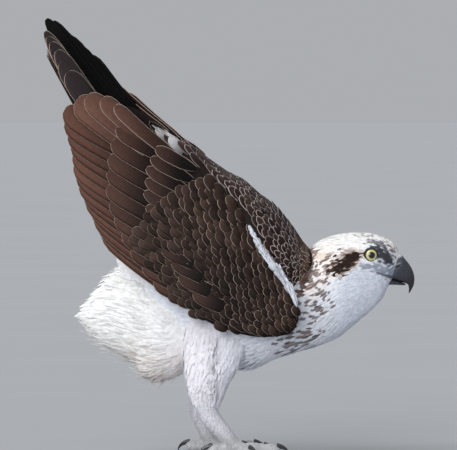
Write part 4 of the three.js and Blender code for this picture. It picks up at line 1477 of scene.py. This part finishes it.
def coverBillBase(look):
    u, v = roots(upperBill, 0, look["reach"], look["rowStep"], look["columnStep"], 0.5)
    here, out, ahead = upperBill.frame(u, v)
    keep = here[:, 2] > 211.5 + 0.6 * (here[:, 0] - 184) + rng.normal(0, 0.7, len(u))
    u, v, here, out, ahead = only(keep, u, v, here, out, ahead)
    n = len(u)
    aim = unit(-ahead + rng.normal(0, 0.14, (n, 3)))
    tone = bodyColor(here - ahead * 3) * rng.uniform(0.8, 1.0, (n, 1))
    length = rng.uniform(*look["length"], n)
    width = rng.uniform(*look["width"], n)
    growFeathers("faceCoat", here, out, aim, length, width, tone, tone * 0.95,
                 bakePlace("body", u, v * 0.02), "wisp", lift=0.28, curl=0.3, sink=0.4, thick=0.22)


coverBillBase(frontLook)
print("head made")


# Legs

legs = {
    "Right": {"side": -1, "hock": (-30, 55), "ankle": (6, 10)},
    "Left": {"side": 1, "hock": (-36, 55), "ankle": (-19, 10)},
}
legLook = {
    "spacing": 38,
    "hockRadius": 11,
    "shankRadius": 9.6,
    "voxel": 0.0009,
    "footTone": (0.46, 0.46, 0.47),
    "shankTone": (0.68, 0.68, 0.73),
}
toes = [
    # name, degrees outwards from straight ahead, length, radius
    ("middle", 4, 47, 6.6),
    ("inner", -30, 39, 6.4),
    ("outer", 66, 40, 6.2),
    ("hind", 172, 30, 6.6),
]
toeSwells = [
    # share of the toe's length, share of its radius
    (0, 1.25), (0.22, 1), (0.42, 1.1), (0.58, 0.94), (0.76, 1.04), (0.9, 0.92), (1, 0.62),
]
clawLook = {
    "length": 25,
    "radius": 3.5,
    "tipRadius": 0.45,
    "bend": 86,  # degrees
    "tones": [(0, (0.035, 0.034, 0.038)), (1, (0.008, 0.008, 0.009))],
}


# A round tube through rows of (x, y, z, radius); ref fixes its turn.
def tube(rows, ref):
    def surface(u, v):
        row = through(rows, v)
        run = through(rows, np.minimum(v + 0.01, 1)) - through(rows, np.maximum(v - 0.01, 0))
        ahead = unit(run[..., :3])
        side = unit(ref - ahead * (ahead @ ref)[..., None])
        up = np.cross(ahead, side)
        turn = 2 * math.pi * u[..., None]
        return row[..., :3] + (side * np.cos(turn) + up * np.sin(turn)) * row[..., 3:]
    return surface


def toePoint(leg, heading, reach, height):
    turn = math.radians(heading)
    return (leg["ankle"][0] + 3 + math.cos(turn) * reach,
            leg["side"] * (legLook["spacing"] + math.sin(turn) * reach), height)


def skinTone(p, *rest):
    tone = blend(legLook["footTone"], legLook["shankTone"], smooth(p[:, 2], 14, 34))
    return tone * (1 + 0.12 * ripple(p, 5, 41))[:, None]


def shankRows(leg):
    y = leg["side"] * legLook["spacing"]
    (hx, hz), (ax, az) = leg["hock"], leg["ankle"]
    r = legLook["shankRadius"]
    middle = [(hx + (ax - hx) * t, y, hz + (az - hz) * t, r + more)
              for t, more in ((0.3, 1.2), (0.6, 0), (0.85, -0.4))]
    top = [(hx + 3, y, hz + 14, 9), (hx + 3, y, hz + 3, legLook["hockRadius"])]
    return top + middle + [(ax + 1, y, az - 1, r - 0.6)]


# The ball of the foot under the ankle.
def padRows(leg):
    return [(leg["ankle"][0] + 2 + 11 * math.cos(a), leg["side"] * legLook["spacing"], 8.6,
             max(9.4 * math.sin(a), 0.3)) for a in np.linspace(0, math.pi, 9)]


# A toe with its pads and joints, and flat on the floor.
def toeRows(leg, heading, length, radius):
    rows = []
    for share, swell in toeSwells:
        size = radius * swell
        rows.append((*toePoint(leg, heading, share * length, size - 0.6 + (1 - share) * 1.2), size))
    return rows


def makeLeg(name, leg):
    across, upright = np.array((0, 1, 0.0)), np.array((0, 0, 1.0))
    tubes = [("shank", shankRows(leg), across, 40, 60), ("pad", padRows(leg), across, 32, 24)]
    tubes += [(toe, toeRows(leg, heading, length, radius), upright, 32, 40)
              for toe, heading, length, radius in toes]
    foot = joined(f"leg{name}", [gridPiece(part, tube(rows, ref), around, along, skinTone)
                                 for part, rows, ref, around, along in tubes])
    remesh = foot.modifiers.new("remesh", "REMESH")
    remesh.mode = "VOXEL"
    remesh.voxel_size = legLook["voxel"]
    bpy.ops.object.modifier_apply(modifier="remesh")
    soften = foot.modifiers.new("soften", "SMOOTH")
    soften.iterations = 3
    bpy.ops.object.modifier_apply(modifier="soften")
    mesh = foot.data
    place = pointsOf(mesh) / mm
    place[:, 2] = np.maximum(place[:, 2], 0)  # the pads are pressed flat on the floor
    movePoints(mesh, place)
    while mesh.color_attributes:
        mesh.color_attributes.remove(mesh.color_attributes[0])
    putColor(mesh, skinTone(place))
    mesh.update()
    bpy.ops.object.mode_set(mode="EDIT")
    bpy.ops.mesh.select_all(action="SELECT")
    bpy.ops.uv.smart_project(angle_limit=1.15, island_margin=0.002)
    bpy.ops.object.mode_set(mode="OBJECT")
    mesh.uv_layers[0].name = "OFBake"
    bpy.ops.object.shade_smooth()
    dress(foot, scalePaint)
    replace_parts(foot, f"shank_{name.lower()}", f"foot_{name.lower()}")


def makeClaws(name, leg, look):
    bend = math.radians(look["bend"])
    arcRadius = look["length"] / bend
    color = lengthwise(look["tones"])
    for toe, heading, length, radius in toes:
        rows = []
        for t in np.linspace(0, 1, 9):
            reach = length - 3.2 + arcRadius * math.sin(bend * t) * 0.8
            height = radius + 4.4 - arcRadius * (1 - math.cos(bend * t)) * 0.62
            size = look["tipRadius"] + (look["radius"] - look["tipRadius"]) * (1 - t**0.9)
            rows.append((*toePoint(leg, heading, reach, height), size))
        turn = math.radians(heading)
        across = np.array([-math.sin(turn), leg["side"] * math.cos(turn), 0.0])
        claw = surfacePiece(f"{toe}Claw{name}", tube(rows, across), 24, 40, hornPaint, color)
        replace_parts(claw, f"claw_{toe}_{name.lower()}")


for legName, leg in legs.items():
    makeLeg(legName, leg)
    makeClaws(legName, leg, clawLook)
print("legs made")


# Floor and light

studio = {
    "wall": (0.60, 0.62, 0.65),
    "wallStrength": 0.68,
    "floor": (0.325, 0.338, 0.357),
    "suns": [
        # from where, width in degrees, strength
        ((-1.5, -1.3, 2.15), 35, 1.5),
        ((-1.0, -3.4, 0.95), 30, 1.7),
        ((0.4, 2.2, 1.9), 50, 0.9),
    ],
}


def addStage(look):
    bpy.ops.mesh.primitive_plane_add(size=60, location=(0, 0, 0))
    floor = bpy.context.object
    floor.name = "floor"
    paint = Paint("paleFloor", Roughness=0.9)
    grain = paint.span(paint.noise(3, 2), 0.3, 0.7)
    paler = tuple(1.03 * c for c in look["floor"])
    floor.data.materials.append(paint.finish(Base_Color=paint.mix(grain, look["floor"], paler)))
    world = bpy.context.scene.world or bpy.data.worlds.new("studio")
    bpy.context.scene.world = world
    world.use_nodes = True
    wall = world.node_tree.nodes["Background"]
    wall.inputs["Color"].default_value = (*look["wall"], 1)
    wall.inputs["Strength"].default_value = look["wallStrength"]
    for (x, y, z), width, strength in look["suns"]:
        turn = (math.atan2(math.hypot(x, y), z), 0, math.atan2(-y, -x) - math.pi / 2)
        bpy.ops.object.light_add(type="SUN", location=(x, y, z), rotation=turn)
        light = bpy.context.object
        light.data.angle = math.radians(width)
        light.data.energy = strength


addStage(studio)

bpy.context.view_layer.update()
triangles = {o.name: sum(len(p.vertices) - 2 for p in o.data.polygons)
             for o in bpy.context.scene.objects if o.type == "MESH" and o.visible_get()}
largest = sorted(triangles.items(), key=lambda item: -item[1])[:6]
print("triangles", sum(triangles.values()), "largest", largest)
